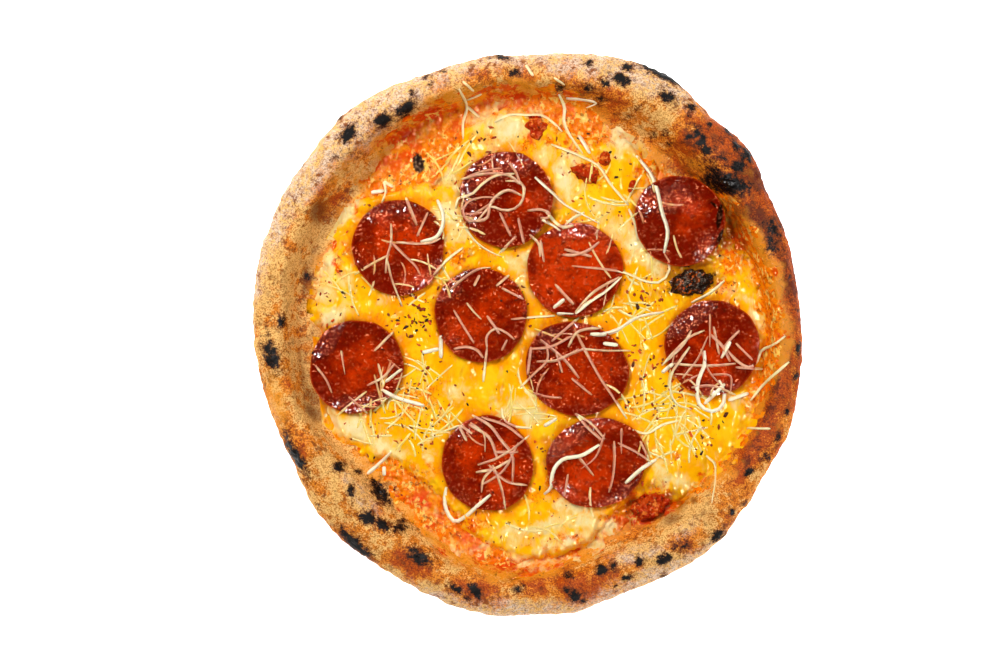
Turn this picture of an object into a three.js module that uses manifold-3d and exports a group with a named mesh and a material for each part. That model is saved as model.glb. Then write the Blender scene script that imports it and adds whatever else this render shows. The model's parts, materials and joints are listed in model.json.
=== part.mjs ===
// A pepperoni pizza from a hot stone oven: a thin dough base with a puffed, blistered rim, tomato
// sauce, melted cheese, lumps of crushed tomato, ten cupped slices of pepperoni, one scorched dough
// blister and shreds of hard cheese grated over the top.
//
// Millimetres, +Z up. The origin is on the flat underside, below the middle of the outline. Seen
// from above, +X is the right-hand side and +Y the top. Angles run anticlockwise from +X.
import * as THREE from "three";
import { mergeVertices } from "three/addons/utils/BufferGeometryUtils.js";
import Module from "manifold-3d";

const wasm = await Module();
wasm.setup();

// Driving dimensions.
const BASE_THICKNESS = 4; // dough under the toppings
const SAUCE_THICKNESS = 1.1;
const CHEESE_THICKNESS = 2.3;
const SLICE_THICKNESS = 1.8;
const SHRED_WIDTH = 1.3;
const GAP = 0.3; // left between pieces that rest on each other

const SAUCE_FLOOR = BASE_THICKNESS + GAP;
const SAUCE_TOP = SAUCE_FLOOR + SAUCE_THICKNESS;
const CHEESE_FLOOR = SAUCE_TOP + GAP;
const CHEESE_TOP = CHEESE_FLOOR + CHEESE_THICKNESS;

// The rim's mean section. The real outline, foot and crest are warped from it, angle by angle.
const RIM = {
  radius: 151, // outermost
  foot: 126, // where the inner slope meets the flat base
  crest: 138,
  height: 22,
  girth: 9, // height of the outermost point
  tuck: 10, // how far the underside is rounded in
};

// Radius of the outline every 10 degrees, of the rim's foot every 20, and the crest's height every 30,
// as measured round this pizza.
const OUTLINE_RADII = [
  149, 148.5, 150, 151, 156, 154.5, 158.5, 158, 154.5, 151.5, 152, 151,
  153.5, 155, 153, 152.5, 151.5, 150, 148.5, 146.7, 145.2, 145.3, 149.3, 150,
  149.5, 151.5, 153.8, 152.5, 152.8, 150, 151, 153, 151.3, 149.8, 151.2, 150,
];
const FOOT_RADII = [127, 125, 122, 122, 126, 127, 127, 124, 125, 123, 121, 113, 118, 124, 121, 119, 120, 126];
const CREST_HEIGHTS = [18, 21, 24, 21, 22, 21, 20, 23, 22, 21, 22, 19];

// Bubbles in the rim: angle, distance from the middle, width across and height.
const BUBBLES = [
  { at: 15, out: 142, wide: 24, high: 2 },
  { at: 37, out: 131, wide: 24, high: 4 },
  { at: 42, out: 143, wide: 34, high: 4.5 },
  { at: 64, out: 148, wide: 26, high: 3 },
  { at: 76, out: 140, wide: 26, high: 2.5 },
  { at: 97, out: 143, wide: 24, high: 2 },
  { at: 121, out: 138, wide: 24, high: 2.5 },
  { at: 134, out: 139, wide: 22, high: 2.5 },
  { at: 165, out: 139, wide: 28, high: 2 },
  { at: 186, out: 136, wide: 24, high: 2.5 },
  { at: 207, out: 135, wide: 26, high: 2.5 },
  { at: 222, out: 124, wide: 28, high: 3.5 },
  { at: 232, out: 140, wide: 24, high: 2.5 },
  { at: 246, out: 128, wide: 20, high: 2.5 },
  { at: 281, out: 136, wide: 32, high: 3 },
  { at: 300, out: 137, wide: 24, high: 2.5 },
  { at: 318, out: 138, wide: 22, high: 2 },
  { at: 347, out: 140, wide: 22, high: 2 },
];

// How far the melted cheese reaches, every 15 degrees.
const CHEESE_RADII = [
  125, 124, 119, 106, 117, 108, 120, 116, 98, 108, 119, 121,
  118, 119, 106, 90, 97, 112, 120, 118, 95, 104, 120, 124,
];

// Mounds where a piece of the cheese melted: middle, width across and height.
const MOUNDS = [
  { x: -12, y: 114, wide: 34, high: 1 },
  { x: 47, y: 104, wide: 30, high: 1.2 },
  { x: 22, y: 72, wide: 26, high: 0.8 },
  { x: -106, y: 62, wide: 26, high: 1.4 },
  { x: -44, y: 62, wide: 22, high: 0.9 },
  { x: -104, y: 14, wide: 28, high: 0.8 },
  { x: -98, y: -48, wide: 30, high: 1 },
  { x: -2, y: -36, wide: 34, high: 0.9 },
  { x: 4, y: 40, wide: 18, high: 0.7 },
  { x: 60, y: 36, wide: 24, high: 0.8 },
  { x: 12, y: -106, wide: 44, high: 1 },
  { x: 74, y: -62, wide: 26, high: 0.9 },
];

// Pepperoni: middle, half-length, half-width, turn of the long axis, and rise of the cupped edge.
// lift raises one side, in the direction lean.
const SLICES = [
  { x: -11.8, y: 73.2, long: 26.1, wide: 25.3, turn: 80, cup: 1.6, lift: 0.6, lean: 330 },
  { x: 25.6, y: 34.9, long: 26, wide: 25.6, turn: 20, cup: 0.9, lift: 0.5, lean: 270 },
  { x: -69.9, y: 47, long: 26, wide: 25, turn: 90, cup: 1.4, lift: 0.3, lean: 120 },
  { x: 82.4, y: 61.4, long: 25, wide: 23.9, turn: 130, cup: 2.4, lift: 1.6, lean: 30 },
  { x: 100.2, y: -7.4, long: 26, wide: 25.6, turn: 70, cup: 1.6, lift: 0.8, lean: 60 },
  { x: -25.2, y: 10.3, long: 25.6, wide: 25, turn: 100, cup: 1.2, lift: 0.4, lean: 200 },
  { x: 26.6, y: -18.8, long: 28.4, wide: 25.2, turn: 160, cup: 1.3, lift: 0.7, lean: 100 },
  { x: -92.8, y: -17.6, long: 25.8, wide: 24.8, turn: 40, cup: 2, lift: 0.8, lean: 150 },
  { x: -21.7, y: -70.3, long: 26, wide: 24.6, turn: 110, cup: 1.2, lift: 0.4, lean: 240 },
  { x: 37.4, y: -69.6, long: 27.4, wide: 24.2, turn: 15, cup: 1.7, lift: 0.7, lean: 130 },
];

// Lumps that stand in the cheese: middle, half-sizes along and across, height and turn.
const TOMATOES = [
  { x: 31.5, y: 87.5, long: 9.5, wide: 5.5, high: 4.6, turn: 160 },
  { x: 42, y: 95.5, long: 4.6, wide: 4, high: 4.8, turn: 60 },
  { x: 4.5, y: 112.5, long: 6.5, wide: 5.5, high: 4.4, turn: 120 },
  { x: 56.6, y: 80.5, long: 4.6, wide: 2.4, high: 4.2, turn: 70 },
  { x: 67, y: -93, long: 11, wide: 6.5, high: 4.8, turn: 25 },
];
const BLISTER = { x: 88, y: 28, long: 13.6, wide: 7, high: 6.4, turn: 8 };

const DEGREE = Math.PI / 180;

// Values spread evenly round a circle, joined by a smooth closed curve.
function around(values, angle) {
  const count = values.length;
  const place = ((((angle / (2 * Math.PI)) % 1) + 1) % 1) * count;
  const first = Math.floor(place);
  const share = place - first;
  const [a, b, c, d] = [-1, 0, 1, 2].map((step) => values[(first + step + count) % count]);
  return b + 0.5 * share * (c - a + share * (2 * a - 5 * b + 4 * c - d + share * (3 * (b - c) + d - a)));
}

// A smooth bump, 1 in its middle and 0 beyond its width.
function bump(x, y, middleX, middleY, wide) {
  const far = (4 * ((x - middleX) ** 2 + (y - middleY) ** 2)) / wide ** 2;
  return far < 1 ? (1 - far) ** 2 : 0;
}

// Gentle unevenness, about -1 to 1. wave is the distance from hump to hump.
function uneven(x, y, wave) {
  const k = (2 * Math.PI) / wave;
  const along = Math.sin(k * (x + 0.35 * y) + 1.3);
  const across = Math.sin(k * (0.8 * y - 0.5 * x) + 0.4 + Math.sin(k * 0.6 * x));
  return 0.5 * (along + across);
}

// A seeded draw, so that the shreds always fall in the same places.
function seeded(seed) {
  let state = seed;
  return (low, high) => {
    state = (state * 1664525 + 1013904223) % 4294967296;
    return low + ((high - low) * state) / 4294967296;
  };
}

function solidOf(geometry) {
  const bare = geometry.clone();
  bare.deleteAttribute("normal");
  bare.deleteAttribute("uv");
  const merged = mergeVertices(bare, 1e-3);
  return new wasm.Manifold(
    new wasm.Mesh({
      numProp: 3,
      vertProperties: merged.attributes.position.array,
      triVerts: new Uint32Array(merged.index.array),
    }),
  );
}

function geometryOf(solid) {
  const { numProp, numVert, vertProperties, triVerts } = solid.getMesh();
  const positions = new Float32Array(numVert * 3);
  for (let i = 0; i < numVert; i++) {
    const start = i * numProp;
    positions.set(vertProperties.subarray(start, start + 3), i * 3);
  }
  const geometry = new THREE.BufferGeometry();
  geometry.setAttribute("position", new THREE.BufferAttribute(positions, 3));
  geometry.setIndex(new THREE.BufferAttribute(triVerts, 1));
  return geometry;
}

// Turns a section about +Z, then moves every point: place(angle, radius, height) gives [x, y, z].
function turned(section, segments, place) {
  const geometry = new THREE.LatheGeometry(section, segments);
  geometry.rotateX(Math.PI / 2);
  const points = geometry.attributes.position;
  for (let i = 0; i < points.count; i++) {
    const [x, y, z] = [points.getX(i), points.getY(i), points.getZ(i)];
    points.setXYZ(i, ...place(Math.atan2(y, x), Math.hypot(x, y), z));
  }
  return geometry;
}

function polar(angle, radius, z) {
  return [radius * Math.cos(angle), radius * Math.sin(angle), z];
}

// Dough.

function rimSection(slopeSteps, arcSteps) {
  const { radius, foot, crest, height, girth, tuck } = RIM;
  const under = new THREE.EllipseCurve(radius - tuck, girth, tuck, girth, -Math.PI / 2, 0);
  const over = new THREE.EllipseCurve(crest, girth, radius - crest, height - girth, 0, Math.PI / 2);
  const slope = new THREE.CubicBezierCurve(
    new THREE.Vector2(crest, height),
    new THREE.Vector2(crest - 0.5 * (crest - foot), height),
    new THREE.Vector2(foot + 0.35 * (crest - foot), BASE_THICKNESS),
    new THREE.Vector2(foot, BASE_THICKNESS),
  );
  return [
    new THREE.Vector2(0, 0),
    ...under.getPoints(arcSteps),
    ...over.getPoints(arcSteps + 1).slice(1),
    ...slope.getPoints(slopeSteps).slice(1),
    new THREE.Vector2(0, BASE_THICKNESS),
  ];
}

function doughRelief(x, y) {
  const bubbles = BUBBLES.reduce((sum, { at, out, wide, high }) => {
    const [middleX, middleY] = polar(at * DEGREE, out);
    return sum + high * bump(x, y, middleX, middleY, wide);
  }, 0);
  return bubbles + 0.9 * uneven(x, y, 31);
}

// Stretches the mean section to the rim that stands at this angle, and swells it outwards from its core.
function doughPoint(angle, radius, z) {
  const foot = around(FOOT_RADII, angle);
  const outline = around(OUTLINE_RADII, angle);
  const crest = around(CREST_HEIGHTS, angle);
  const share = (radius - RIM.foot) / (RIM.radius - RIM.foot);
  const reach = share < 0 ? (radius * foot) / RIM.foot : foot + share * (outline - foot);
  if (share <= 0 || z <= 0) return polar(angle, reach, z);
  const rise = Math.max(0, (z - BASE_THICKNESS) / (RIM.height - BASE_THICKNESS));
  const height = z <= BASE_THICKNESS ? z : BASE_THICKNESS + rise * (crest - BASE_THICKNESS);
  const [x, y] = polar(angle, reach, 0);
  return [x, y, height + rise * doughRelief(x, y)];
}

function crust() {
  return turned(rimSection(5, 3), 132, doughPoint);
}

// Sauce and cheese.

function sauce() {
  const edge = 0.6;
  const reach = (angle) => around(FOOT_RADII, angle) - 0.8;
  const section = [
    new THREE.Vector2(0, 0),
    new THREE.Vector2(1, 0),
    new THREE.Vector2(1, edge),
    new THREE.Vector2(0.97, 1),
    new THREE.Vector2(0, 1),
  ];
  const place = (angle, radius, z) => polar(angle, radius * reach(angle), SAUCE_FLOOR + z * SAUCE_THICKNESS);
  return turned(section, 48, place);
}

function cheeseReach(angle) {
  return around(CHEESE_RADII, angle) + 1.2 * Math.sin(11 * angle) + 0.8 * Math.sin(23 * angle + 1);
}

function cheeseTop(x, y) {
  const mounds = MOUNDS.reduce((sum, m) => sum + m.high * bump(x, y, m.x, m.y, m.wide), 0);
  return CHEESE_TOP + mounds + 0.35 * uneven(x, y, 17);
}

function cheeseSheet() {
  const edge = 0.45;
  const rings = [1, 0.97, 0.9, 0.8, 0.67, 0.52, 0.32, 0];
  const section = [
    new THREE.Vector2(0, 0),
    new THREE.Vector2(1, 0),
    ...rings.map((ring) => new THREE.Vector2(ring, 1 - (1 - edge) * Math.max(0, (ring - 0.9) / 0.1) ** 2)),
  ];
  return turned(section, 72, (angle, radius, z) => {
    const [x, y] = polar(angle, radius * cheeseReach(angle), 0);
    return [x, y, CHEESE_FLOOR + z * (cheeseTop(x, y) - CHEESE_FLOOR)];
  });
}

// Toppings.

// Half-width of a slice in the direction angle, measured from its middle.
function sliceReach({ long, wide, turn, x }, angle) {
  const along = angle - turn * DEGREE;
  const oval = (long * wide) / Math.hypot(wide * Math.cos(along), long * Math.sin(along));
  return oval * (1 + 0.012 * Math.sin(3 * angle + x) + 0.008 * Math.sin(5 * angle + 2 * x));
}

// Height of a slice's underside at a share of its radius: flat in the middle, cupped at the edge.
function sliceFloor(slice, angle, share) {
  const { x, y, cup, lift, lean } = slice;
  const out = share * sliceReach(slice, angle);
  const wrinkle = 0.25 * share * uneven(x + out * Math.cos(angle), y + out * Math.sin(angle), 11);
  const tilted = lift * share * Math.cos(angle - lean * DEGREE);
  return CHEESE_TOP - 0.9 + cup * share ** 4 + lift * 0.6 + tilted + wrinkle;
}

// One slice, or, with clearance, the room that it needs in the cheese.
function slice(shape, clearance = 0) {
  const top = clearance ? 30 : SLICE_THICKNESS;
  const bevel = clearance ? 0 : 0.35;
  const section = [
    ...[0, 0.55, 0.85].map((share) => new THREE.Vector2(share, 0)),
    new THREE.Vector2(1, bevel),
    new THREE.Vector2(1, top - bevel),
    ...(clearance ? [0] : [0.85, 0.5, 0]).map((share) => new THREE.Vector2(share, top)),
  ];
  return turned(section, 22, (angle, share, z) => {
    const [x, y] = polar(angle, share * (sliceReach(shape, angle) + clearance), 0);
    return [shape.x + x, shape.y + y, sliceFloor(shape, angle, share) - clearance + z];
  });
}

// A flat-bottomed lump that stands on the sauce.
function lump({ x, y, long, wide, high, turn }, clearance = 0) {
  const geometry = new THREE.SphereGeometry(1, 12, 6);
  geometry.rotateX(Math.PI / 2);
  const points = geometry.attributes.position;
  const [cos, sin] = [Math.cos(turn * DEGREE), Math.sin(turn * DEGREE)];
  for (let i = 0; i < points.count; i++) {
    const knobbly = 1 + 0.12 * Math.sin(5 * points.getX(i) + x) * Math.cos(4 * points.getY(i) + y);
    const along = points.getX(i) * (long * knobbly + clearance);
    const across = points.getY(i) * (wide * knobbly + clearance);
    const height = Math.max(0, points.getZ(i)) * (high * knobbly + clearance);
    const floor = CHEESE_FLOOR + (points.getZ(i) < -1e-6 ? points.getZ(i) * 0.01 - clearance : 0);
    points.setXYZ(i, x + along * cos - across * sin, y + along * sin + across * cos, floor + height);
  }
  return geometry;
}

// A shred of hard cheese along a bowed line. surface(x, y) is the height of what it lies on.
function shred({ x, y, heading, length, bow }, surface) {
  const sunk = 0.1;
  const half = SHRED_WIDTH / 2;
  const [cos, sin] = [Math.cos(heading), Math.sin(heading)];
  const line = [-0.5, -0.2, 0.2, 0.5].map((place) => {
    const along = place * length;
    const across = bow * (1 - 4 * place * place);
    const [px, py] = [x + along * cos - across * sin, y + along * sin + across * cos];
    return new THREE.Vector3(px, py, surface(px, py) + half - 4 * sunk);
  });
  const outline = new THREE.Shape([
    new THREE.Vector2(-half, -half),
    new THREE.Vector2(half, -half),
    new THREE.Vector2(half, half),
    new THREE.Vector2(-half, half),
  ]);
  const extrudePath = new THREE.CatmullRomCurve3(line);
  return { line, solid: solidOf(new THREE.ExtrudeGeometry(outline, { steps: 4, extrudePath })) };
}

// Draws shreds until enough of them lie clear, and fuses them to the core.
function grateOver(core, count, draw, place, surface, clear) {
  const shreds = [];
  const mostTries = 60 * count;
  for (let tries = 0; shreds.length < count && tries < mostTries; tries++) {
    const made = shred({ ...place(), length: draw(9, 24), bow: draw(-3.5, 3.5) }, surface);
    if (made.line.every(clear)) shreds.push(made.solid);
  }
  const bodies = wasm.Manifold.union([core, ...shreds]).decompose();
  return bodies.sort((a, b) => b.volume() - a.volume())[0];
}

function insideSlice(shape, x, y, margin) {
  const [dx, dy] = [x - shape.x, y - shape.y];
  return Math.hypot(dx, dy) < sliceReach(shape, Math.atan2(dy, dx)) + margin;
}

function insideLump({ x, y, long, wide, turn }, px, py, margin) {
  const [cos, sin] = [Math.cos(turn * DEGREE), Math.sin(turn * DEGREE)];
  const along = (px - x) * cos + (py - y) * sin;
  const across = (py - y) * cos - (px - x) * sin;
  return Math.hypot(along / (long * 1.15 + margin), across / (wide * 1.15 + margin)) < 1;
}

function pepperoni(shape, draw) {
  const surface = (x, y) => {
    const angle = Math.atan2(y - shape.y, x - shape.x);
    const share = Math.hypot(x - shape.x, y - shape.y) / sliceReach(shape, angle);
    return sliceFloor(shape, angle, share) + SLICE_THICKNESS;
  };
  const place = () => {
    const [x, y] = polar(draw(0, 2 * Math.PI), draw(0, 16));
    return { x: shape.x + x, y: shape.y + y, heading: draw(0, Math.PI) };
  };
  const clear = ({ x, y }) => insideSlice(shape, x, y, -2);
  return geometryOf(grateOver(solidOf(slice(shape)), 2, draw, place, surface, clear));
}

function cheese(draw) {
  const lumps = [...TOMATOES, BLISTER];
  const rooms = [...SLICES.map((shape) => slice(shape, 0.4)), ...lumps.map((shape) => lump(shape, 0.4))];
  const core = solidOf(cheeseSheet()).subtract(wasm.Manifold.union(rooms.map(solidOf)));
  const place = () => {
    const [x, y] = polar(draw(0, 2 * Math.PI), 118 * Math.sqrt(draw(0.02, 1)));
    return { x, y, heading: draw(0, Math.PI) };
  };
  const clear = ({ x, y }) =>
    Math.hypot(x, y) < cheeseReach(Math.atan2(y, x)) - 6 &&
    !SLICES.some((shape) => insideSlice(shape, x, y, 2.5)) &&
    !lumps.some((shape) => insideLump(shape, x, y, 2.5));
  return geometryOf(grateOver(core, 14, draw, place, cheeseTop, clear));
}

const LOOKS = {
  dough: { color: 0xd9a45c, roughness: 0.8 },
  sauce: { color: 0xc8420e, roughness: 0.45 },
  cheese: { color: 0xf6c845, roughness: 0.35 },
  pepperoni: { color: 0x9c1a06, roughness: 0.35 },
  tomato: { color: 0xc62a10, roughness: 0.3 },
  scorched: { color: 0x24120a, roughness: 0.5 },
};

const pizza = new THREE.Group();

function add(name, geometry, look) {
  const mesh = new THREE.Mesh(geometry, new THREE.MeshStandardMaterial({ ...look, metalness: 0 }));
  mesh.name = name;
  pizza.add(mesh);
}

const numbered = (name, index) => `${name}_${String(index + 1).padStart(2, "0")}`;
const draw = seeded(7);

add("crust", crust(), LOOKS.dough);
add("tomato_sauce", sauce(), LOOKS.sauce);
add("melted_cheese", cheese(draw), LOOKS.cheese);
TOMATOES.forEach((shape, i) => add(numbered("tomato", i), lump(shape), LOOKS.tomato));
add("scorched_blister", lump(BLISTER), LOOKS.scorched);
SLICES.forEach((shape, i) => add(numbered("pepperoni", i), pepperoni(shape, draw), LOOKS.pepperoni));

export default pizza;
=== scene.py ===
import itertools
import json
import math
from functools import partial

import bmesh
import bpy
import numpy as np
from bpy.props import FloatProperty, FloatVectorProperty, IntProperty, PointerProperty
from mathutils import Matrix, Vector
from mathutils.bvhtree import BVHTree

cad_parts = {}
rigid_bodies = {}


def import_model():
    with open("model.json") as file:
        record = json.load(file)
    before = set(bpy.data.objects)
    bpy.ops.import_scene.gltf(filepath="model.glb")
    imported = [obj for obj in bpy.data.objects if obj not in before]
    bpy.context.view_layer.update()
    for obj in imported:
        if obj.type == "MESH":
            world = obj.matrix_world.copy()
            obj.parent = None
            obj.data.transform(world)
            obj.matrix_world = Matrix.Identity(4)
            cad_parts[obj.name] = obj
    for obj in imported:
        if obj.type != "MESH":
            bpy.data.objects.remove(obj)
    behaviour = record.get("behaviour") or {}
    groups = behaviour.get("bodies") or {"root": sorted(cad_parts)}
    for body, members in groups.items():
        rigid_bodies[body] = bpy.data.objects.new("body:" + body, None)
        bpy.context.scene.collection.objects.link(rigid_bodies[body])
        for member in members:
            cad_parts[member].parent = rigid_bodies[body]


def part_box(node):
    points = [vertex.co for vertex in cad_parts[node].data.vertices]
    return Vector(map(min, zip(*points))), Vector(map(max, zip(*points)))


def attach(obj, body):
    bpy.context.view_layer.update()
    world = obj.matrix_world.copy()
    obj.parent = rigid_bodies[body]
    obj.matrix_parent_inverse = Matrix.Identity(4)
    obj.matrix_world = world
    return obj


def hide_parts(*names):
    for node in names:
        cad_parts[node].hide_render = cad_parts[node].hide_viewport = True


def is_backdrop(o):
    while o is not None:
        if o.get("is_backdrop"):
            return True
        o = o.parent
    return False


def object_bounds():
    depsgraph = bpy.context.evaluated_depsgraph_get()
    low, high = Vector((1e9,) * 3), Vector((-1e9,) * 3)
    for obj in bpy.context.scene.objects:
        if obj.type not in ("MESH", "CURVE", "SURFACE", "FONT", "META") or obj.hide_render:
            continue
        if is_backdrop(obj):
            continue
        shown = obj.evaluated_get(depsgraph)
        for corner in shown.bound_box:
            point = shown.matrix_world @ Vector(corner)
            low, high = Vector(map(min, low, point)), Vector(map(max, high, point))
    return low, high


bl_info = {
    "name": "Pepperoni Pizza",
    "version": (1, 0, 0),
    "blender": (4, 5, 0),
    "location": "View3D > Sidebar > Pizza",
    "description": "Dresses the solid model of a pizza with baked dough, melted cheese and toppings",
    "category": "Add Mesh",
}

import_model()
solid_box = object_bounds()

# Everything is shaped in millimetres, with +X to the right and +Y to the top of the pizza as it is
# seen from above, and MM turns it into Blender's metres. Angles run anticlockwise from +X.
MM = 0.001
CHEESE_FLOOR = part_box("melted_cheese")[0].z / MM
MERGE_DISTANCE = 1e-4

# Dough: the rim's mean section, and what it is warped to round the pizza: its outline every 10 degrees,
# its inner foot every 20 and the height of its crest every 30.
BASE_THICKNESS = 4
RIM = {"radius": 151, "foot": 126, "crest": 138, "height": 22, "girth": 9, "tuck": 10}
OUTLINE_RADII = (
    149, 148.5, 150, 151, 156, 154.5, 158.5, 158, 154.5, 151.5, 152, 151,
    153.5, 155, 153, 152.5, 151.5, 150, 148.5, 146.7, 145.2, 145.3, 149.3, 150,
    149.5, 151.5, 153.8, 152.5, 152.8, 150, 151, 153, 151.3, 149.8, 151.2, 150,
)
FOOT_RADII = (127, 125, 122, 122, 126, 127, 127, 124, 125, 123, 121, 113, 118, 124, 121, 119, 120, 126)
CREST_HEIGHTS = (18, 21, 24, 21, 22, 21, 20, 23, 22, 21, 22, 19)
BUBBLES = (  # angle, distance from the middle, width across, height
    (15, 142, 24, 2), (37, 131, 24, 4), (42, 143, 34, 4.5), (64, 148, 26, 3), (76, 140, 26, 2.5),
    (97, 143, 24, 2), (121, 138, 24, 2.5), (134, 139, 22, 2.5), (165, 139, 28, 2), (186, 136, 24, 2.5),
    (207, 135, 26, 2.5), (222, 124, 28, 3.5), (232, 140, 24, 2.5), (246, 128, 20, 2.5), (281, 136, 32, 3),
    (300, 137, 24, 2.5), (318, 138, 22, 2), (347, 140, 22, 2),
)
SCORCH_RISE = 0.9  # of flakes on scorched skin
CREASE_DEPTH = 1.3

# Every 15 degrees: where flour starts on the rim, how brown it is baked, and how far sauce and cheese reach.
FLOUR_RADII = (
    158, 164, 164, 156, 144, 140, 142, 141, 134, 133, 139, 143,
    148, 165, 165, 158, 148, 144, 142, 142, 142, 149, 156, 158,
)
TOASTING = (
    0.75, 0.85, 0.95, 0.8, 0.35, 0.4, 0.35, 0.35, 0.25, 0.3, 0.15, 0.1,
    0.1, 0.2, 0.25, 0.25, 0.3, 0.35, 0.5, 0.55, 0.3, 0.2, 0.65, 0.8,
)
SAUCE_RADII = (
    138, 136, 131, 120, 116, 128, 133, 133, 131, 122, 118, 119,
    110, 112, 112, 112, 118, 127, 128, 122, 118, 123, 129, 132,
)
CHEESE_RADII = (
    130, 128, 120, 106, 117, 108, 120, 116, 98, 108, 116, 115,
    112, 113, 113, 100, 97, 112, 120, 119, 104, 124, 129, 129,
)
CHEESE_TOP = 8  # mean height of the melted cheese
MOUNDS = (  # x, y, width across, height
    (-12, 114, 34, 1), (47, 104, 30, 1.2), (22, 72, 26, 0.8), (-106, 62, 26, 1.4), (-44, 62, 22, 0.9),
    (-104, 14, 28, 0.8), (-98, -48, 30, 1), (-2, -36, 34, 0.9), (4, 40, 18, 0.7), (60, 36, 24, 0.8),
    (12, -106, 44, 1), (74, -62, 26, 0.9),
)

# Marks on the surface. Each is x, y, half-length, half-width, turn in degrees and strength.
CHAR = (  # scorched
    (92, 106, 10, 5, -50, 0.42), (103, 93, 15, 9, -50, 0.42), (114, 76, 13, 7, -50, 0.35),
    (130, 60, 8, 4, 110, 0.4), (-132.6, 7, 3.5, 2, 80, 1), (-138, -11, 8, 4, -68, 1),
    (-141, 3, 4, 1, -70, 0.6), (-125, -65, 12, 3, -62, 1), (-93, -113, 11, 3, -42, 1),
    (-102, -71.5, 3.4, 2.8, 0, 1), (-92, -75, 2, 1.5, 0, 0.9), (-95, -84, 2, 3.5, 0, 0.9),
    (-80, -86, 8, 3.2, -55, 1), (-86.5, -99, 4.5, 4, -30, 1), (-78, -103, 5, 2.6, -30, 1),
    (-69, -104, 4.5, 3.5, 0, 0.8), (-59, -120, 6.5, 3.6, -30, 1), (-38.7, -137, 5, 3, -20, 0.75),
    (-28.6, -138, 5, 2.6, -50, 1), (-33, -142.6, 3.5, 1.5, -20, 0.6), (-5, -137, 4, 2, 20, 0.8),
    (22, -130, 2.6, 2, 0, 0.95), (21, -137, 2, 2, 0, 0.9), (25, -140.5, 4, 3, -40, 1),
    (30, -144, 2.6, 1.8, 0, 0.8), (40, -127, 3.2, 2.6, 0, 1), (46, -125, 2, 2.4, 0, 0.9),
    (53, -131, 3, 1.8, 0, 0.95), (47, -136, 1.8, 1.5, 0, 0.7), (60, -122, 2, 3, 20, 0.95),
    (72, -122, 3.2, 2.6, 0, 1), (75, -120.5, 2.8, 2.6, 40, 1), (74, -131, 2.2, 2, 0, 0.85),
    (83, -115, 6, 5, 40, 0.55), (102.5, -108.6, 4.4, 2.6, 50, 1), (110.5, -96, 2, 1.8, 0, 0.9),
    (117, -92, 2.4, 1.4, 60, 0.7), (119.5, -74, 3, 2.4, 40, 0.95), (128, -66, 5, 3.5, 50, 0.55),
    (135, -55.6, 4, 1.6, 70, 0.85), (140, -42, 3, 1.5, 70, 0.8), (145, -23, 2.5, 1.6, 80, 0.85),
    (146, -8, 3.4, 1.8, 80, 0.95), (146.5, 13, 1.8, 1.6, 0, 0.7), (141, 31, 2, 1.6, 0, 0.7),
    (132, 57, 8, 4.5, 110, 0.7), (131, 48, 5, 3.4, 90, 0.8), (137, 44, 4, 3, 100, 0.55),
    (108, 81, 12, 5, -14, 1.1), (99, 86, 5, 3, 50, 0.8), (113, 90.5, 5.5, 3.4, 20, 1),
    (118.5, 96, 5, 2.8, 110, 0.95), (112, 101, 3.8, 2.4, -40, 0.9), (109, 108.5, 5, 1.5, -52, 0.8),
    (93, 103, 4, 3, 60, 0.95), (91, 108, 4.5, 3.2, 100, 0.9), (96, 99, 3.5, 2.6, -40, 0.95),
    (86, 106, 3, 2, 0, 0.85), (100, 91, 7, 5, -20, 0.55), (98, 113, 1.8, 1.7, 0, 0.85),
    (88, 122, 3, 2.4, 0, 0.9), (85.5, 117, 2.8, 2.2, 0, 0.5), (75, 127.6, 5.4, 3, -30, 1),
    (74, 139.5, 13, 2.6, -24, 1.1), (66, 144, 5, 2.6, -40, 1), (50, 137, 4.6, 3.4, -20, 1),
    (54, 143.8, 3.2, 2.4, -10, 0.95), (41.5, 135, 2.8, 2.4, 0, 0.85), (32.5, 132, 2.8, 2.2, 0, 0.85),
    (33, 145.7, 2, 2.2, 0, 0.85), (17.5, 133, 2.8, 2.2, 0, 0.9), (40, 126.6, 3.5, 2.6, 0, 0.6),
    (59, 122, 2.6, 1.8, 0, 0.6), (54, 117, 1.8, 1.5, 0, 0.5), (68.5, 107.5, 2.2, 2, 0, 0.6),
    (74, 108.5, 2, 1.8, 0, 0.6), (77, 103, 2.2, 2, 0, 0.55), (-7, 141, 3.6, 2.4, 0, 0.9),
    (-14, 149.4, 4.5, 1.8, -15, 0.9), (-22, 150, 2, 1.4, 0, 0.6), (-62, 130, 2.6, 1.8, 0, 0.75),
    (-54, 139, 3.4, 1.5, 20, 0.65), (-52, 134, 1.6, 2, 0, 0.6), (-46, 142, 2.2, 1.6, 0, 0.75),
    (-66, 121, 6, 3, 40, 1), (-78, 115, 5.4, 3.6, 35, 1), (-96.6, 107.5, 6, 3.8, 55, 1),
    (-102, 117, 3.6, 1, 40, 0.85), (-73, 139, 2.6, 1.4, 0, 0.6), (-80, 134, 2.6, 1.4, 20, 0.55),
    (-90, 129, 2.6, 1.6, 10, 0.5), (-59.4, 93, 2.6, 4.4, 15, 1.1), (-104, 96, 4, 2.5, 40, 0.35),
    (-92, 97, 5, 3, 0, 0.3), (-127, 87, 2, 1.5, 50, 0.6), (-122.5, 92.6, 2, 1.5, 50, 0.6),
    (-134, 76, 2, 1.5, 60, 0.5), (77, 24, 3, 3, 0, 0.5), (100, 32, 5, 2, 20, 0.5),
    (86, 37, 6, 1.6, 5, 0.5), (104, 52, 1.5, 8, -15, 0.7), (-121, 12, 2.4, 2.2, 0, 0.5),
    (-120, 31, 1.6, 2.4, 0, 0.8), (-113, -92, 1.5, 1.5, 0, 0.5),
)
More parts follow.
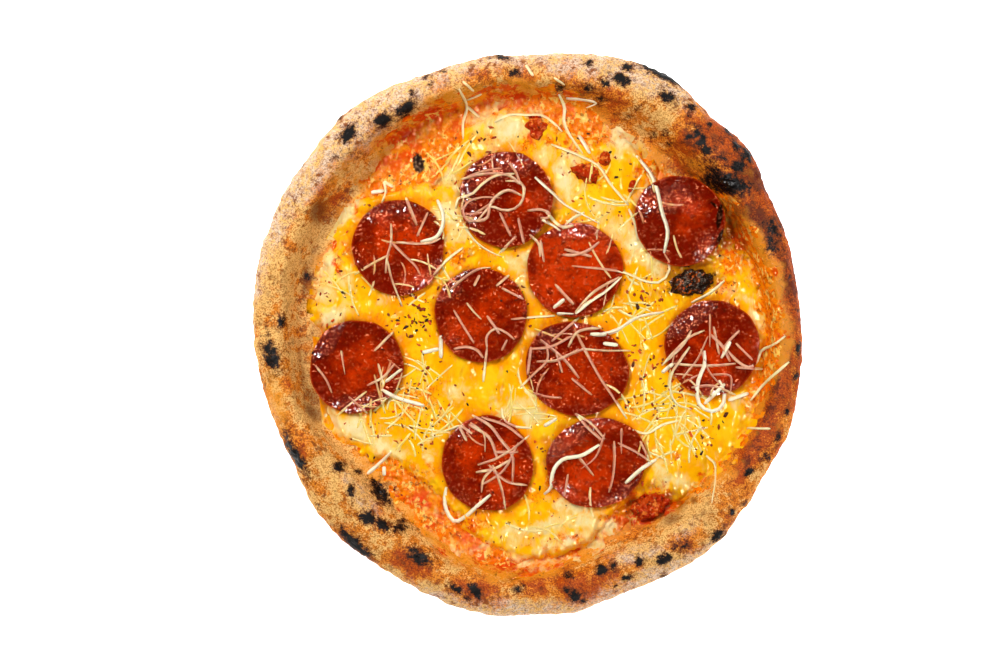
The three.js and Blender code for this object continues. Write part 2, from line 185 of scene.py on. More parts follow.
CREASES = (  # pressed into the dough
    (-134, 36, 11, 0.9, 80, 1), (-112, 66, 7, 4.5, 70, 1.6), (20, -130, 20, 1, 20, 0.8),
    (-6, -132, 16, 1.2, 22, 1.2), (46, 113.5, 13, 1.2, -22, 1.2), (97, 78, 12, 2, -20, 1.2),
    (134, -2, 12, 1.5, 95, 0.8), (104, 52, 10, 2.5, -65, 1.4), (-117, -40, 10, 3, -60, 1.2),
    (-121, -4, 8, 2.4, 80, 0.9), (-104, 58, 4, 2, 60, 0.6),
)
FLOURED = (  # more flour; marks stronger than 1 also paint light on the rim's shaded lower right edge
    (58, -119, 15, 4, 15, 1), (85, -106, 9, 4, 40, 0.75), (-88, -90, 14, 4.5, -50, 0.8),
    (-97, -78, 6, 3, -60, 0.6), (100, 98, 10, 6, 30, 0.35), (52, -142, 12, 3.5, 12, 1.25),
    (80, -131, 20, 3.5, 27, 1.25), (70, -118, 12, 4, 10, 0.5), (-58, -139, 18, 3, -22, 0.9),
    (-88, -121, 14, 2.5, -40, 0.7), (-20, -147, 18, 2.5, -4, 0.8), (-98, -104, 10, 4, -45, 0.3),
)
TOASTED = (  # baked brown
    (30, -138, 14, 7, 12, 0.8), (6, -138, 10, 7, 0, 0.6), (-30, -137, 12, 5, -15, 0.8),
    (-64, -124, 14, 6, -30, 0.7), (108, -103, 8, 5, 45, 0.35), (84, -113, 7, 5, 20, 0.5),
    (120, -66, 16, 4, 60, 0.8), (134, -24, 22, 5, 80, 0.75), (138, 36, 24, 7, 100, 0.6),
    (126, 62, 12, 8, 110, 0.5), (104, 100, 16, 7, -45, 0.8), (120, 86, 12, 7, -60, 0.7),
    (-129, -25, 12, 5, -70, 0.35), (-125, -62, 14, 5, -60, 0.4), (-92, -112, 14, 5, -42, 0.5),
    (88, 104, 10, 6, 0, 0.6), (46, 128, 10, 6, 0, 0.5), (-4, 140, 10, 5, 0, 0.4),
    (-48, 136, 10, 5, 20, 0.5), (-88, 104, 14, 6, 45, 0.4), (-110, 92, 8, 6, 50, 0.5),
    (128, -44, 12, 3, 70, 0.5), (-108, 70, 6, 10, 30, 0.5),
)
OILED = (  # orange patches of the crust
    (-136, -38, 6, 22, 12, 0.75), (-128, -70, 6, 12, 30, 0.5), (92, 90, 8, 5, -45, 0.6),
    (138, -46, 5, 14, -20, 0.4), (88, -110, 12, 6, 40, 0.35), (-101, 88, 12, 6, 45, 0.55),
    (-84, 107, 12, 5, 40, 0.4), (118, 88, 7, 4, -50, 0.4),
)
CREAM = (  # pale, creamy cheese
    (22, -112, 14, 5, 10, 1), (37, -115, 8, 4, 0, 0.9), (-5, -124, 16, 4, 0, 0.7),
    (28, -122, 12, 4, 10, 0.8), (-13, 114, 13, 9, 0, 1.1), (-22, 104, 7, 6, 20, 0.7),
    (5, 121, 7, 4, 0, 0.7), (50, 107, 12, 7, -25, 1.1), (60, 101, 7, 6, 0, 0.9), (44, 99, 6, 5, 0, 0.7),
    (20, 85, 5, 13, 25, 1), (24, 97, 7, 6, 0, 0.8), (9, 95, 8, 4, -30, 0.8), (40, 67, 9, 5, 30, 0.6),
    (50, 58, 7, 7, 0, 0.7), (60, 48, 9, 6, -45, 1), (67, 41, 8, 5, -40, 0.9), (70, 36, 5, 4, 0, 0.7),
    (-103, 64, 8, 5, 40, 1.1), (-94, 74, 7, 4, 40, 0.9), (-108, 38, 6, 9, 0, 0.9),
    (-100, 28, 5, 9, 20, 0.8), (-112, 22, 6, 9, 0, 0.7), (-108, 9, 8, 4, 30, 1),
    (-90, 50, 4, 10, -10, 0.5), (-44, 66, 5, 9, 30, 1), (-38, 54, 5, 5, 0, 0.8), (-41, 86, 6, 8, 0, 0.8),
    (-36, 72, 4, 10, 10, 0.8), (-30, 95, 5, 7, -20, 0.7), (-48, 84, 8, 3, -30, 0.7),
    (-55, 90, 8, 5, 40, 0.6), (-104, -48, 10, 5, -20, 1.1), (-94, -52, 12, 6, -20, 1.1),
    (-80, -60, 12, 5, -25, 1), (-36, -30, 9, 5, 10, 0.7), (-54, -68, 4, 6, 0, 0.8),
    (-8, -40, 11, 5, 20, 0.9), (4, -46, 8, 4, 0, 0.8), (3, 41, 7, 5, 30, 1), (-8, 38, 6, 4, -30, 0.7),
    (-4, 26, 4, 5, 0, 0.5), (6, 0, 7, 3, -20, 0.6), (62, -16, 5, 6, 0, 0.3), (25, -94, 10, 4, -15, 1),
    (12, -104, 14, 4, 25, 0.9), (42, -106, 8, 6, 0, 1.1), (33, -101, 10, 4, 0, 0.9),
    (6, -120, 8, 3, 30, 0.8), (-8, -110, 9, 5, 30, 0.8), (-38, -120, 8, 4, 10, 0.7),
    (-22, -114, 7, 3, 20, 0.6), (-57, -94, 5, 4, 0, 0.7), (-46, -96, 5, 4, 0, 0.5),
    (71, -73, 5, 4, 0, 0.9), (80, -79, 8, 4, -15, 0.8), (62, -60, 4, 8, 30, 0.6),
    (118, 18, 8, 3, -40, 0.9), (124, 8, 6, 2.6, -50, 1), (110, 24, 5, 3, -20, 0.6),
    (112, -38, 8, 4, 0, 0.6), (88, -46, 9, 5, 0, 0.35), (-60, 30, 9, 5, 0, 0.5),
    (-78, 22, 8, 4, -10, 0.5), (-118, 47, 5, 5, 0, 0.7), (64, 73, 4, 9, 10, 0.7),
)
AMBER = (  # oily, orange cheese and sauce
    (-62, -34, 16, 12, 10, 0.75), (-46, -46, 10, 6, -20, 0.6), (-36, 42, 8, 6, 20, 0.9),
    (-50, 30, 6, 5, 40, 0.6), (-24, 46, 8, 3, -30, 0.5), (12, 10, 5, 8, 30, 0.7), (0, -6, 4, 9, 0, 0.6),
    (-60, 88, 12, 7, 20, 1), (-48, 100, 14, 9, 20, 1.1), (-70, 82, 14, 6, 30, 1.1),
    (-82, 84, 8, 5, 30, 0.9), (30, 112, 16, 8, -10, 1.2), (10, 126, 16, 4, 0, 1.2),
    (40, 118, 12, 5, -20, 1), (66, 92, 10, 5, -30, 1), (118, 62, 12, 12, 0, 1.2),
    (126, 38, 6, 14, 10, 1.1), (130, 14, 5, 14, 5, 1.2), (132, -12, 6, 12, 0, 1.2),
    (124, -30, 6, 12, -20, 1), (106, 28, 5, 8, 40, 0.9), (112, 40, 8, 8, 0, 1),
    (-62, -25, 9, 12, 40, 0.25), (-75, -42, 8, 8, 0, 0.25), (-75, -70, 10, 4, -35, 1),
    (-64, -79, 10, 7, -20, 1.2), (-50, -74, 7, 6, 0, 0.7), (-60, -100, 14, 6, -30, 1.1),
    (-45, -108, 12, 6, -10, 1.1), (-28, -104, 8, 9, 0, 0.7), (-18, -122, 12, 5, 0, 1.1),
    (2, -113, 9, 4, 20, 0.5), (22, -110, 9, 3, 0, 0.9), (14, -117, 9, 3, 0, 0.7), (0, -88, 7, 6, 0, 0.7),
    (12, -80, 4, 9, 0, 0.9), (56, -100, 12, 7, 0, 1), (92, -88, 7, 5, 0, 1.1), (104, -78, 9, 6, 30, 0.6),
    (112, -70, 8, 6, 40, 0.6), (56, -42, 5, 9, 20, 0.5), (-100, -60, 14, 3, -30, 0.8),
    (-116, 34, 3, 12, 0, 0.7), (48, -32, 7, 4, 40, 0.4), (70, 24, 6, 5, 0, 0.5), (-5, 50, 8, 3, 20, 0.6),
    (60, 62, 4, 12, 0, 0.5), (50, 22, 5, 8, 30, 0.4), (-84, 8, 8, 4, 0, 0.4), (-44, 20, 4, 10, 20, 0.5),
    (118, -52, 6, 8, 0, 0.5), (-24, 88, 6, 5, 0, 0.4), (-20, 105, 6, 3, 0, 0.6), (-114, 0, 5, 8, 0, 0.8),
    (84, -98, 10, 6, 20, 0.8), (40, -93, 14, 3, -10, 0.7), (30, 60, 6, 3, 30, 0.4),
)
RUDDY = (  # sauce that shows red
    (55, -88, 6, 4, 0, 1), (77, -90, 7, 4, 40, 0.9), (70, -84, 8, 3, 20, 0.8), (52, -98, 8, 3, 10, 1),
    (-52, 119, 9, 4, 15, 1.1), (-66, 107, 8, 6, 40, 1), (-60, 97, 8, 4, 0, 0.8),
    (-75, 95, 10, 4, 30, 0.8), (-80, 104, 5, 3, 40, 0.6), (-99, 75, 5, 4, 0, 1.1),
    (-101, 84, 5, 3, -30, 0.8), (-7, 128.7, 8, 3, 0, 1.1), (3, 110, 4, 8, 0, 1.1),
    (12, 104, 6, 4, -30, 0.9), (24, 102, 8, 3, -20, 0.7), (20, 118, 8, 3, -10, 0.6),
    (8, 128, 8, 3, 0, 0.6), (-32, 120, 8, 4, 10, 0.7), (-20, 126, 8, 3, 10, 0.6),
    (-114, 55, 5, 2.4, 60, 1.1), (-106, 50, 2.6, 3, 30, 1.2), (-103, 38, 2.2, 8, 12, 1.2),
    (-98, 46, 3, 5, 0, 0.8), (60, 88, 5, 4, 0, 0.8), (68, 86, 7, 4, -10, 0.8), (34, 88, 11, 7, -20, 0.9),
    (40, 96, 6, 5, 0, 0.9), (112, 50, 9, 5, 40, 1), (104, 44, 6, 4, 0, 0.8), (116, 66, 6, 8, 0, 0.6),
    (106, 36, 5, 3, 0, 0.6), (-60, -91, 8, 4, -10, 1.1), (-52, -104, 6, 4, 0, 0.7),
    (-30, -103, 4.5, 5, 0, 1.1), (-36, -112, 6, 3, 0, 0.7), (-12, -125, 10, 4, 0, 0.9),
    (-2, -129, 6, 3, 20, 0.7), (-49, -119.6, 4, 4, 0, 1), (-26, -122, 6, 4, 0, 0.7),
    (50, -100, 10, 3, 0, 0.9), (61, -101, 9, 4, 10, 1.1), (66, -91, 12, 6, 20, 1.1),
    (76, -97, 6, 5, 30, 0.8), (73, -84, 4, 3, 0, 0.7), (80.4, -66.4, 5, 2, -20, 0.8),
    (93, -76, 3, 2.5, 0, 0.7), (36, -110, 5, 2, 10, 0.5), (26, -114, 8, 1.6, 10, 0.6),
    (-36, -88, 4, 3, 0, 0.5), (-72, -96, 6, 4, -30, 0.6), (-40, 80, 5, 2, 30, 0.4),
    (-52, 74, 5, 3, 0, 0.5), (-46, 76, 4, 4, 0, 0.5), (8, 62, 3, 4, 0, 0.4), (-14, -92, 5, 3, 0, 0.3),
    (96, 50, 8, 3, -60, 0.5),
)
SHADE = (  # brown: oily and burnt patches, and painted shade in hollows, at the rim's foot and beside slices
    (89, 30, 14, 8, 8, 1), (94, 38, 10, 3, 0, 0.7), (112, 58, 7, 14, 20, 0.6), (118, 44, 8, 12, 0, 0.4),
    (-112, 66, 8, 4.5, 70, 1), (-117, 46, 3, 14, 5, 0.5), (14, 66, 2.5, 6, -20, 0.9),
    (-40, 86, 4, 9, 15, 0.35), (-47, 84, 9, 1.5, 35, 0.7), (-26, 93, 2, 10, -10, 0.35),
    (107, 52, 4, 9, 25, 0.9), (104, 42, 5, 4, 0, 0.6), (116, 74, 6, 6, 0, 0.4), (112, 60, 5, 14, 5, 0.9),
    (116, 46, 5, 10, 20, 0.7), (68, -93, 17, 5, 25, 1), (56, -92, 5, 6, 0, 0.7), (84, -92, 8, 3, 60, 0.7),
    (58, -99, 10, 3, 0, 0.5), (-120.5, 24, 2, 15, 2, 1), (-120, 0, 2, 9, 0, 1),
    (-117, -34, 2.5, 8, 30, 0.8), (90, 42, 8, 3, 0, 0.6), (8, -18, 4, 12, -10, 0.6),
    (3, -8, 5, 3, 20, 0.5), (24, 4, 10, 2, 0, 0.4), (-116, -42, 3, 7, 40, 0.9), (-115, 4, 3, 6, 0, 0.5),
    (-28, 42, 6, 3, 30, 0.4), (65, -82, 9, 3, 10, 0.7), (78, -100, 6, 3, 20, 0.8),
    (13, -78, 2.5, 8, 10, 0.5), (118, -34, 3, 7, -30, 0.5), (120, -20, 3, 9, 0, 0.4),
    (90, -90, 2, 2, 0, 0.9), (72, 34, 5, 4, 0, 0.4), (-7, -131, 14, 2, 20, 0.5),
)

# Pepperoni: x, y, half-length, half-width, turn, cup, lift and the way that the lift leans.
SLICE_THICKNESS = 1.8
SLICE_SINK = 0.9  # how deep the middle of a slice lies in the cheese, before its lift
SLICE_RINGS = (1, 0.85, 0.55)  # steps of its underside
SLICE_WOBBLE = ((0.012, 3, 1), (0.008, 5, 2), (0.006, 11, 1))  # size, waves round the edge, shift with x
SLICES = (
    (-11.8, 73.2, 26.1, 25.3, 80, 1.6, 0.6, 330), (25.6, 34.9, 26, 25.6, 20, 0.9, 0.5, 270),
    (-69.9, 47, 26, 25, 90, 1.4, 0.3, 120), (82.4, 61.4, 25, 23.9, 130, 2.4, 1.6, 30),
    (100.2, -7.4, 26, 25.6, 70, 1.6, 0.8, 60), (-25.2, 10.3, 25.6, 25, 100, 1.2, 0.4, 200),
    (26.6, -18.8, 28.4, 25.2, 160, 1.3, 0.7, 100), (-92.8, -17.6, 25.8, 24.8, 40, 2, 0.8, 150),
    (-21.7, -70.3, 26, 24.6, 110, 1.2, 0.4, 240), (37.4, -69.6, 27.4, 24.2, 15, 1.7, 0.7, 130),
)
RUFFLES = (  # wet, wrinkled patches
    (-18, 88, 16, 6, 10, 1), (-34, 76, 4, 12, 20, 0.8), (22, 57, 20, 4, 0, 0.8), (-74, 66, 16, 6, 0, 0.6),
    (-54, 30, 12, 5, 50, 1), (76, 72, 12, 8, 30, 1.2), (96, 44, 5, 10, -30, 0.6), (88, 6, 12, 6, 40, 1),
    (-40, 28, 10, 5, 40, 0.7), (-107, 0, 14, 5, 50, 1.2), (-90, -38, 16, 4, 5, 1.3),
    (-30, -50, 10, 5, 20, 0.6), (24, -55, 12, 5, 40, 1.2), (52, -86, 10, 4, 40, 0.9),
    (12, -2, 8, 5, 40, 0.7), (104, -30, 10, 4, 0, 0.7),
)
DARK_MEAT_AND_SHADE = (  # darker parts of the slices: darker meat, and painted shade on the sides that lie in shadow
    (-26, 72, 10, 16, 0, 1), (10, -12, 14, 10, 40, 1), (72, 46, 10, 8, -40, 0.7),
    (92, 48, 10, 6, 20, 0.6), (-84, 30, 12, 5, -40, 0.7), (30, 14, 14, 5, 0, 0.6),
    (-40, 22, 8, 8, 0, 0.6), (-34, -84, 10, 6, -20, 0.6), (96, 12, 14, 6, 20, 0.7),
    (52, -84, 10, 6, 40, 0.6), (-104, 0, 12, 6, 40, 0.5),
)
SHADOW_GAPS = (  # painted shadow in the gaps under turned-up edges
    (104, 64, 1.5, 7, -8, 1.2), (104.5, 53, 1.3, 5, -25, 1.1), (101, 70, 3, 1, -40, 0.9),
    (8, 20, 1, 5, 50, 0.6), (-32, 92, 1, 6, 40, 0.6),
)
SLICE_GLOW = (0.6, 1.05, 0.65, 0.5, 0.7, 0.7, 0.65, 0.55, 0.8, 0.75)  # how bright the middle of each one is

# Lumps: x, y, half-length, half-width, height, turn.
TOMATOES = (
    (31.5, 87.5, 9.5, 5.5, 4.6, 160), (42, 95.5, 4.6, 4, 4.8, 60), (4.5, 112.5, 6.5, 5.5, 4.4, 120),
    (56.6, 80.5, 4.6, 2.4, 4.2, 70), (67, -93, 11, 6.5, 4.8, 25),
)
BLISTER = (89, 28, 13.4, 7.6, 6.4, 10)

# Grated cheese, laid as the photograph shows it: the points that each shred runs through.
SHRED_STEPS = 14
FINE_SHREDS = (
    ((-37, 132), (-33, 124), (-35, 115), (-35, 106)), ((-33, 124), (-26, 118)), ((-33, 127), (-25, 130)),
    ((-35, 136), (-29, 131)), ((-18, 115), (-10, 119), (0, 119), (8, 119), (14, 115), (19, 110)),
    ((17, 130), (20, 124), (20, 115), (23, 108), (30, 98)), ((14, 138), (20, 134)), ((-1, 145), (3, 139)),
    ((13, 103), (28, 97), (39, 91), (44, 83), (55, 70)), ((-33, 85), (-25, 88), (-14, 90)),
    ((-39, 68), (-38, 73), (-30, 76), (-25, 81), (-17, 86), (-7, 87)),
    ((-12, 83), (-3, 82), (-2, 78), (-3, 72), (-7, 68), (-12, 67), (-21, 69), (-24, 65), (-28, 61)),
    ((-28, 61), (-33, 62), (-35, 67), (-33, 71), (-26, 74), (-15, 74)), ((-18, 72), (-29, 65)),
    ((-10, 93), (-7, 89), (-4, 82)), ((0, 67), (9, 67), (12, 65), (11, 63), (7, 63)),
    ((19, 57), (25, 63), (31, 66)), ((-78, 83), (-73, 80)), ((-78, 83), (-77, 77), (-79, 71)),
    ((-66, 74), (-60, 59)), ((-54, 66), (-60, 53)), ((-74, 60), (-74, 50), (-76, 42), (-77, 33)),
    ((-74, 50), (-67, 43), (-60, 36), (-58, 32)), ((-71, 50), (-59, 49), (-51, 50), (-47, 52)),
    ((-76, 40), (-74, 31), (-70, 20), (-68, 15)), ((-35, 60), (-29, 51), (-21, 45), (-14, 42)),
    ((-51, 32), (-44, 40), (-35, 47)), ((-15, 44), (-6, 53)),
    ((-42, 24), (-35, 30), (-27, 35), (-20, 36)), ((-29, 26), (-26, 32)), ((-17, 26), (-10, 32)),
    ((-14, 25), (-2, 19)), ((-33, 17), (-29, 12), (-25, 8)), ((-40, 13), (-34, 3), (-29, -5)),
    ((-22, 10), (-15, 0)), ((-22, -8), (-22, -1), (-17, 3), (-12, 1), (-7, -3)),
    ((-22, -8), (-23, -17), (-24, -26)), ((-14, -9), (-11, -3)),
    ((-40, -8), (-33, -7), (-27, -9), (-24, -13)), ((-9, 8), (1, 9), (15, 10)),
    ((24, 37), (34, 36), (44, 35), (54, 33), (63, 29), (71, 28), (76, 32), (77, 38), (74, 44)),
    ((15, 27), (25, 16)), ((7, 51), (9, 39)), ((19, 43), (26, 43), (34, 46), (39, 50)),
    ((27, 0), (32, -10), (39, -23), (47, -35), (54, -46)), ((14, -15), (23, -11), (31, -8)),
    ((10, -5), (11, -13), (3, -22), (-4, -29)), ((13, -4), (21, 3), (28, 9)),
    ((22, -7), (27, 1), (35, 3), (40, 3)), ((2, -7), (0, -22)), ((55, 68), (58, 61), (60, 51)),
    ((89, 17), (100, 23), (107, 29)), ((73, -17), (80, -9), (89, -1), (96, 2)), ((99, 11), (99, -7)),
    ((101, 4), (104, -11)), ((113, -5), (122, -14)),
    ((108, -8), (113, -14), (121, -18), (125, -14), (127, -9), (133, -6), (139, -1)),
    ((79, -16), (90, -17), (103, -17), (113, -16)), ((113, -18), (128, -19)),
    ((88, -7), (83, -14), (78, -22), (78, -33), (81, -38), (89, -41)),
    ((100, -22), (110, -23), (110, -32)), ((141, -15), (132, -23), (121, -36)), ((-101, -9), (-99, -22)),
    ((-115, -17), (-109, -25), (-106, -32)), ((-83, -9), (-73, 1)), ((-87, -28), (-78, -23), (-72, -16)),
    ((-97, -34), (-87, -43)), ((-81, -16), (-78, -28)),
    ((-30, -44), (-20, -50), (-14, -58), (-9, -64), (-8, -81)), ((-31, -48), (-24, -54), (-23, -64)),
    ((-37, -50), (-33, -58)), ((-27, -71), (-18, -68), (-9, -63), (1, -55)),
    ((-19, -71), (-14, -84), (-12, -95)), ((-19, -73), (-24, -79), (-25, -86)),
    ((-14, -40), (-13, -46), (-7, -50), (2, -51)), ((26, -43), (33, -51), (41, -58)),
    ((28, -67), (36, -77)), ((47, -58), (47, -71), (46, -79), (44, -86)), ((51, -51), (51, -65)),
    ((22, -76), (20, -88)), ((57, -52), (64, -54), (74, -49), (82, -47)),
    ((-32, -49), (-21, -56), (-16, -68)), ((-25, -45), (-11, -50), (-2, -57)),
    ((-5, -59), (-14, -75), (-25, -82)), ((-21, -71), (-11, -80), (0, -82)), ((-18, -64), (-5, -64)),
    ((-28, -75), (-18, -73), (-9, -68)), ((-42, -52), (-37, -50), (-30, -54)),
    ((42, -54), (36, -68), (29, -73)), ((49, -59), (59, -64), (68, -70)),
    ((26, -43), (35, -49), (42, -57)), ((7, -3), (21, -15), (28, -24)), ((1, -8), (12, -7), (24, -1)),
    ((5, -15), (17, -14), (28, -8)), ((15, -8), (19, -21)), ((24, -24), (35, -33)),
    ((29, -8), (42, -9), (56, -9)), ((106, -8), (110, -3), (115, 2)), ((94, -8), (99, -21), (105, -28)),
    ((84, -24), (92, -14), (98, -1)), ((99, 0), (106, -7), (110, -15)),
    ((89, -29), (99, -28), (113, -33)), ((75, -15), (85, -5), (89, 2)),
    ((-36, 84), (-22, 87), (-10, 86), (-3, 81)), ((-32, 61), (-22, 63), (-20, 71), (-10, 78), (-3, 75)),
    ((-7, 83), (-2, 80), (-3, 71)), ((-15, 66), (-9, 53)), ((-5, 63), (-2, 49)),
    ((1, 54), (6, 49), (7, 42)), ((26, 12), (35, 22), (50, 31)), ((20, 46), (35, 42)),
    ((10, 66), (20, 58), (25, 59)), ((61, -58), (66, -68)),
    ((97, -66), (102, -71), (102, -75), (99, -91)), ((119, -51), (131, -51)),
)
THICK_SHREDS = (
    ((21, 128), (30, 127), (37, 125), (32, 123)), ((28, 108), (34, 98)),
    ((4, 85), (12, 78), (21, 70), (30, 65), (39, 60)), ((8, 62), (14, 59), (18, 56)),
    ((-85, 77), (-78, 78)), ((-49, 73), (-46, 66), (-46, 59), (-49, 53), (-58, 50)),
    ((-47, -1), (-47, -13)), ((-57, -10), (-48, -8)), ((26, 11), (33, 17), (42, 23), (51, 31)),
    ((16, 11), (25, 11)), ((14, 14), (20, 19)), ((34, 0), (42, 0), (50, 3)), ((41, -5), (49, -6)),
    ((59, 97), (67, 87), (71, 75), (73, 66), (76, 56), (74, 44)), ((39, 0), (46, 1), (60, 9), (74, 12)),
    ((110, -4), (105, -13)), ((73, -21), (79, -16)),
    ((96, -9), (96, -17), (93, -24), (92, -32), (94, -39), (100, -42), (105, -40), (107, -33), (104, -25)),
    ((96, -38), (107, -27)), ((109, -36), (120, -32)), ((-77, -26), (-68, -19)),
    ((-79, -30), (-74, -33), (-56, -39)), ((-87, -76), (-80, -70), (-74, -64)), ((-78, -72), (-78, -77)),
    ((-20, -87), (-27, -93), (-35, -100), (-39, -102), (-44, -96), (-45, -90), (-44, -83)),
    ((9, -50), (16, -46)), ((39, -60), (29, -66), (19, -68), (15, -72), (13, -79), (13, -83), (9, -87)),
    ((70, -68), (62, -73), (53, -81)),
)

# What is scattered, how far from the middle it may fall, and how far it stays from the blister.
MELTED_REACH = 108
SPECK_REACH = 117
BLISTER_CLEARANCE = 20
MELTED_ZONES = (  # x, y, radius, how many
    (88, -50, 26, 46), (72, -34, 18, 18), (104, -58, 18, 18), (-62, -38, 24, 44), (-55, 25, 14, 10),
    (60, 10, 16, 16), (0, -40, 14, 14), (20, -104, 26, 14), (-96, 30, 16, 12), (-92, -50, 14, 10),
    (45, 75, 18, 12), (-35, 105, 22, 12), (62, 38, 12, 8), (-40, 66, 12, 8), (112, 20, 12, 6),
    (0, 30, 100, 20),
)
SPECK_ZONES = (  # x, y, radius, how many, largest size
    (0, 0, SPECK_REACH, 800, 1.6), (-65, 12, 14, 60, 2), (-60, 8, 8, 14, 2.4), (-26, 98, 12, 16, 2.6),
    (66, -30, 18, 80, 1.7), (62, -10, 8, 16, 2), (104, -58, 16, 70, 2), (-66, -40, 24, 120, 1.5),
    (62, 22, 12, 30, 2.4), (112, 22, 12, 30, 1.4), (36, 62, 18, 50, 1.2), (0, -104, 26, 50, 1.2),
    (-102, 20, 14, 24, 1.6), (-42, 22, 8, 16, 1.8),
)
LANDING = (  # the pieces that shreds and specks fall on, by how their names start
    "dough_crust", "tomato_sauce_layer", "melted_cheese_sheet", "pepperoni_", "tomato_lump", "scorched_",
)
RAY_START = 0.1  # metres, above everything

# The stage, in metres. The photograph's frame is PHOTO_WIDTH wide where the pizza's outline is widest.
PHOTO_WIDTH = 0.5427
PHOTO_MIDDLE = (-0.0149, 0.0003)
OUTLINE_HEIGHT = 0.009
FLOOR_REACH = 3
DAYLIGHT = 0.15  # strength of the white light from all round
LIGHTS = (  # name, place, size, power setting, share of it, lights the pizza, shows in wet surfaces
    ("key", (-0.8, 0.75, 1.1), 0.4, "key_power", 1, True, True),
    ("fill", (0.85, -0.8, 0.9), 1.1, "fill_power", 1, True, False),
    ("top", (0.3, 1.1, 0.95), 1.1, "fill_power", 0.6, True, False),
    ("sparkle_1", (0.15, 0.85, 1.2), 0.26, "spark_power", 1, False, True),
    ("sparkle_2", (-0.4, -0.75, 1.3), 0.26, "spark_power", 1, False, True),
    ("sparkle_3", (0.8, 0, 1.3), 0.26, "spark_power", 1, False, True),
)


def seen(red, green, blue):
    """A colour as it looks on a screen, 0 to 255, in Blender's linear values."""
    shares = (red / 255, green / 255, blue / 255)
    return tuple(((c + 0.055) / 1.055) ** 2.4 if c > 10 / 255 else c / 12.92 for c in shares)


# What the finishes mix in between the colours that are settings.
DEEP_TOAST = seen(112, 42, 6)
GRAIN_SHADOW = seen(204, 160, 118)
BROWN_FLECK = seen(142, 68, 18)
SAUCE_SMEAR = seen(214, 60, 4)
# Painted shade in hollows at the rim's foot, and oily brown patches.
DOUGH_SHADE_AND_OIL = seen(104, 44, 4)
SINGED = seen(116, 52, 12)
# Whitest flour, which also paints light on the rim's lower right edge where the lamps leave shade.
FLOUR_AND_PAINTED_LIGHT = seen(254, 243, 228)
LIGHT_CHEESE = seen(255, 198, 18)
SAUCE_RED = seen(226, 78, 2)
SAUCE_ORANGE = seen(250, 146, 12)
CURD = seen(244, 186, 60)
PULP = seen(224, 84, 2)
PALE_BIT = seen(255, 212, 96)
BROWN_BIT = seen(138, 36, 2)
WHITE_CURD = seen(252, 232, 176)
BURNT = seen(26, 16, 12)
MEAT_GRAIN = seen(86, 12, 0)
FAT_SPECK = seen(230, 92, 20)
# Painted shadow under the turned-up edges of slices.
GAP_SHADOW = seen(26, 5, 1)
TOMATO_FLESH = seen(192, 58, 4)
TOMATO_DARK = seen(84, 12, 2)
TOMATO_PALE = seen(240, 130, 50)
BLISTER_BROWN = seen(104, 40, 6)
BLISTER_ORANGE = seen(206, 86, 8)
SHRED_MOTTLE = seen(246, 176, 92)
SPECK_COLOURS = (seen(52, 18, 4), seen(150, 48, 6), seen(222, 84, 10))


def colour(name, description, *look):
    """A setting for a colour, whose default is given as it looks on a screen."""
    return FloatVectorProperty(
        name=name, description=description, subtype="COLOR", size=3, min=0, max=1, default=seen(*look)
    )


def length(name, description, default):
    """A setting for a length in metres."""
    return FloatProperty(
        name=name, description=description, default=default, unit="LENGTH", subtype="DISTANCE"
    )


def power(name, description, default):
    """A setting for a lamp's power in watts."""
    return FloatProperty(name=name, description=description, default=default, unit="POWER")


class PizzaDough(bpy.types.PropertyGroup):
    """The baked dough."""

    turns: IntProperty(name="Segments", description="Steps round the crust", default=120, min=24, max=240)
    finer: IntProperty(name="Finer", description="Smaller steps in each segment", default=8, min=1, max=12)
    roughness_height: length("Skin relief", "Height of the small lumps in the baked skin", 0.7 * MM)
    golden: colour("Golden", "Lightly baked dough", 248, 196, 112)
    orange: colour("Orange", "Oily golden dough", 238, 144, 36)
    toasted: colour("Toasted", "Well baked dough", 198, 86, 6)
    flour: colour("Flour", "Floury skin", 240, 214, 188)
    scorched: colour("Scorched", "Black leopard spots", 15, 10, 8)
    stain: colour("Stain", "Dough soaked with orange oil", 240, 150, 34)


class PizzaToppings(bpy.types.PropertyGroup):
    """Sauce, melted cheese and tomato."""

    cells: IntProperty(
        name="Cells", description="Cells across the melted cheese", default=270, min=40, max=300
    )
    yellow: colour("Yellow", "Melted cheese", 255, 178, 0)
    cream: colour("Cream", "Pale melted cheese", 246, 220, 148)
    amber: colour("Amber", "Oily orange cheese and sauce", 248, 124, 0)
    ruddy: colour("Ruddy", "Tomato sauce", 230, 54, 2)
    # Brown for oily patches and for painted shade in hollows and beside the slices.
    shade: colour("Shade", "Brown hollows", 134, 46, 2)
    tomato: colour("Tomato", "Crushed tomato", 176, 32, 2)
    scorched: colour("Scorched", "Burnt blister", 24, 11, 6)


class PizzaPepperoni(bpy.types.PropertyGroup):
    """The pepperoni slices."""

    cells: IntProperty(name="Cells", description="Cells across a slice", default=88, min=20, max=140)
    meat: colour("Meat", "Dark cured meat", 116, 12, 0)
    fat: colour("Fat", "Orange-red fat", 198, 46, 0)
    rim: colour("Rim", "Edge of the slice", 190, 62, 12)


class PizzaShreds(bpy.types.PropertyGroup):
    """The grated hard cheese and the specks."""

    width: length("Width", "Width of a grated shred", 1.6 * MM)
    thickness: length("Thickness", "Thickness of a grated shred", 0.5 * MM)
    seed: IntProperty(name="Seed", description="Changes where the small shreds and specks fall", default=7)
    pale: colour("Pale", "Shred on cheese", 255, 238, 172)
    melted: colour("Melted", "Shred melted into the cheese", 255, 220, 104)
    pink: colour("Pink", "Shred soaked with red oil", 204, 100, 64)
    dry: colour("Dry", "Dry shred", 255, 242, 206)


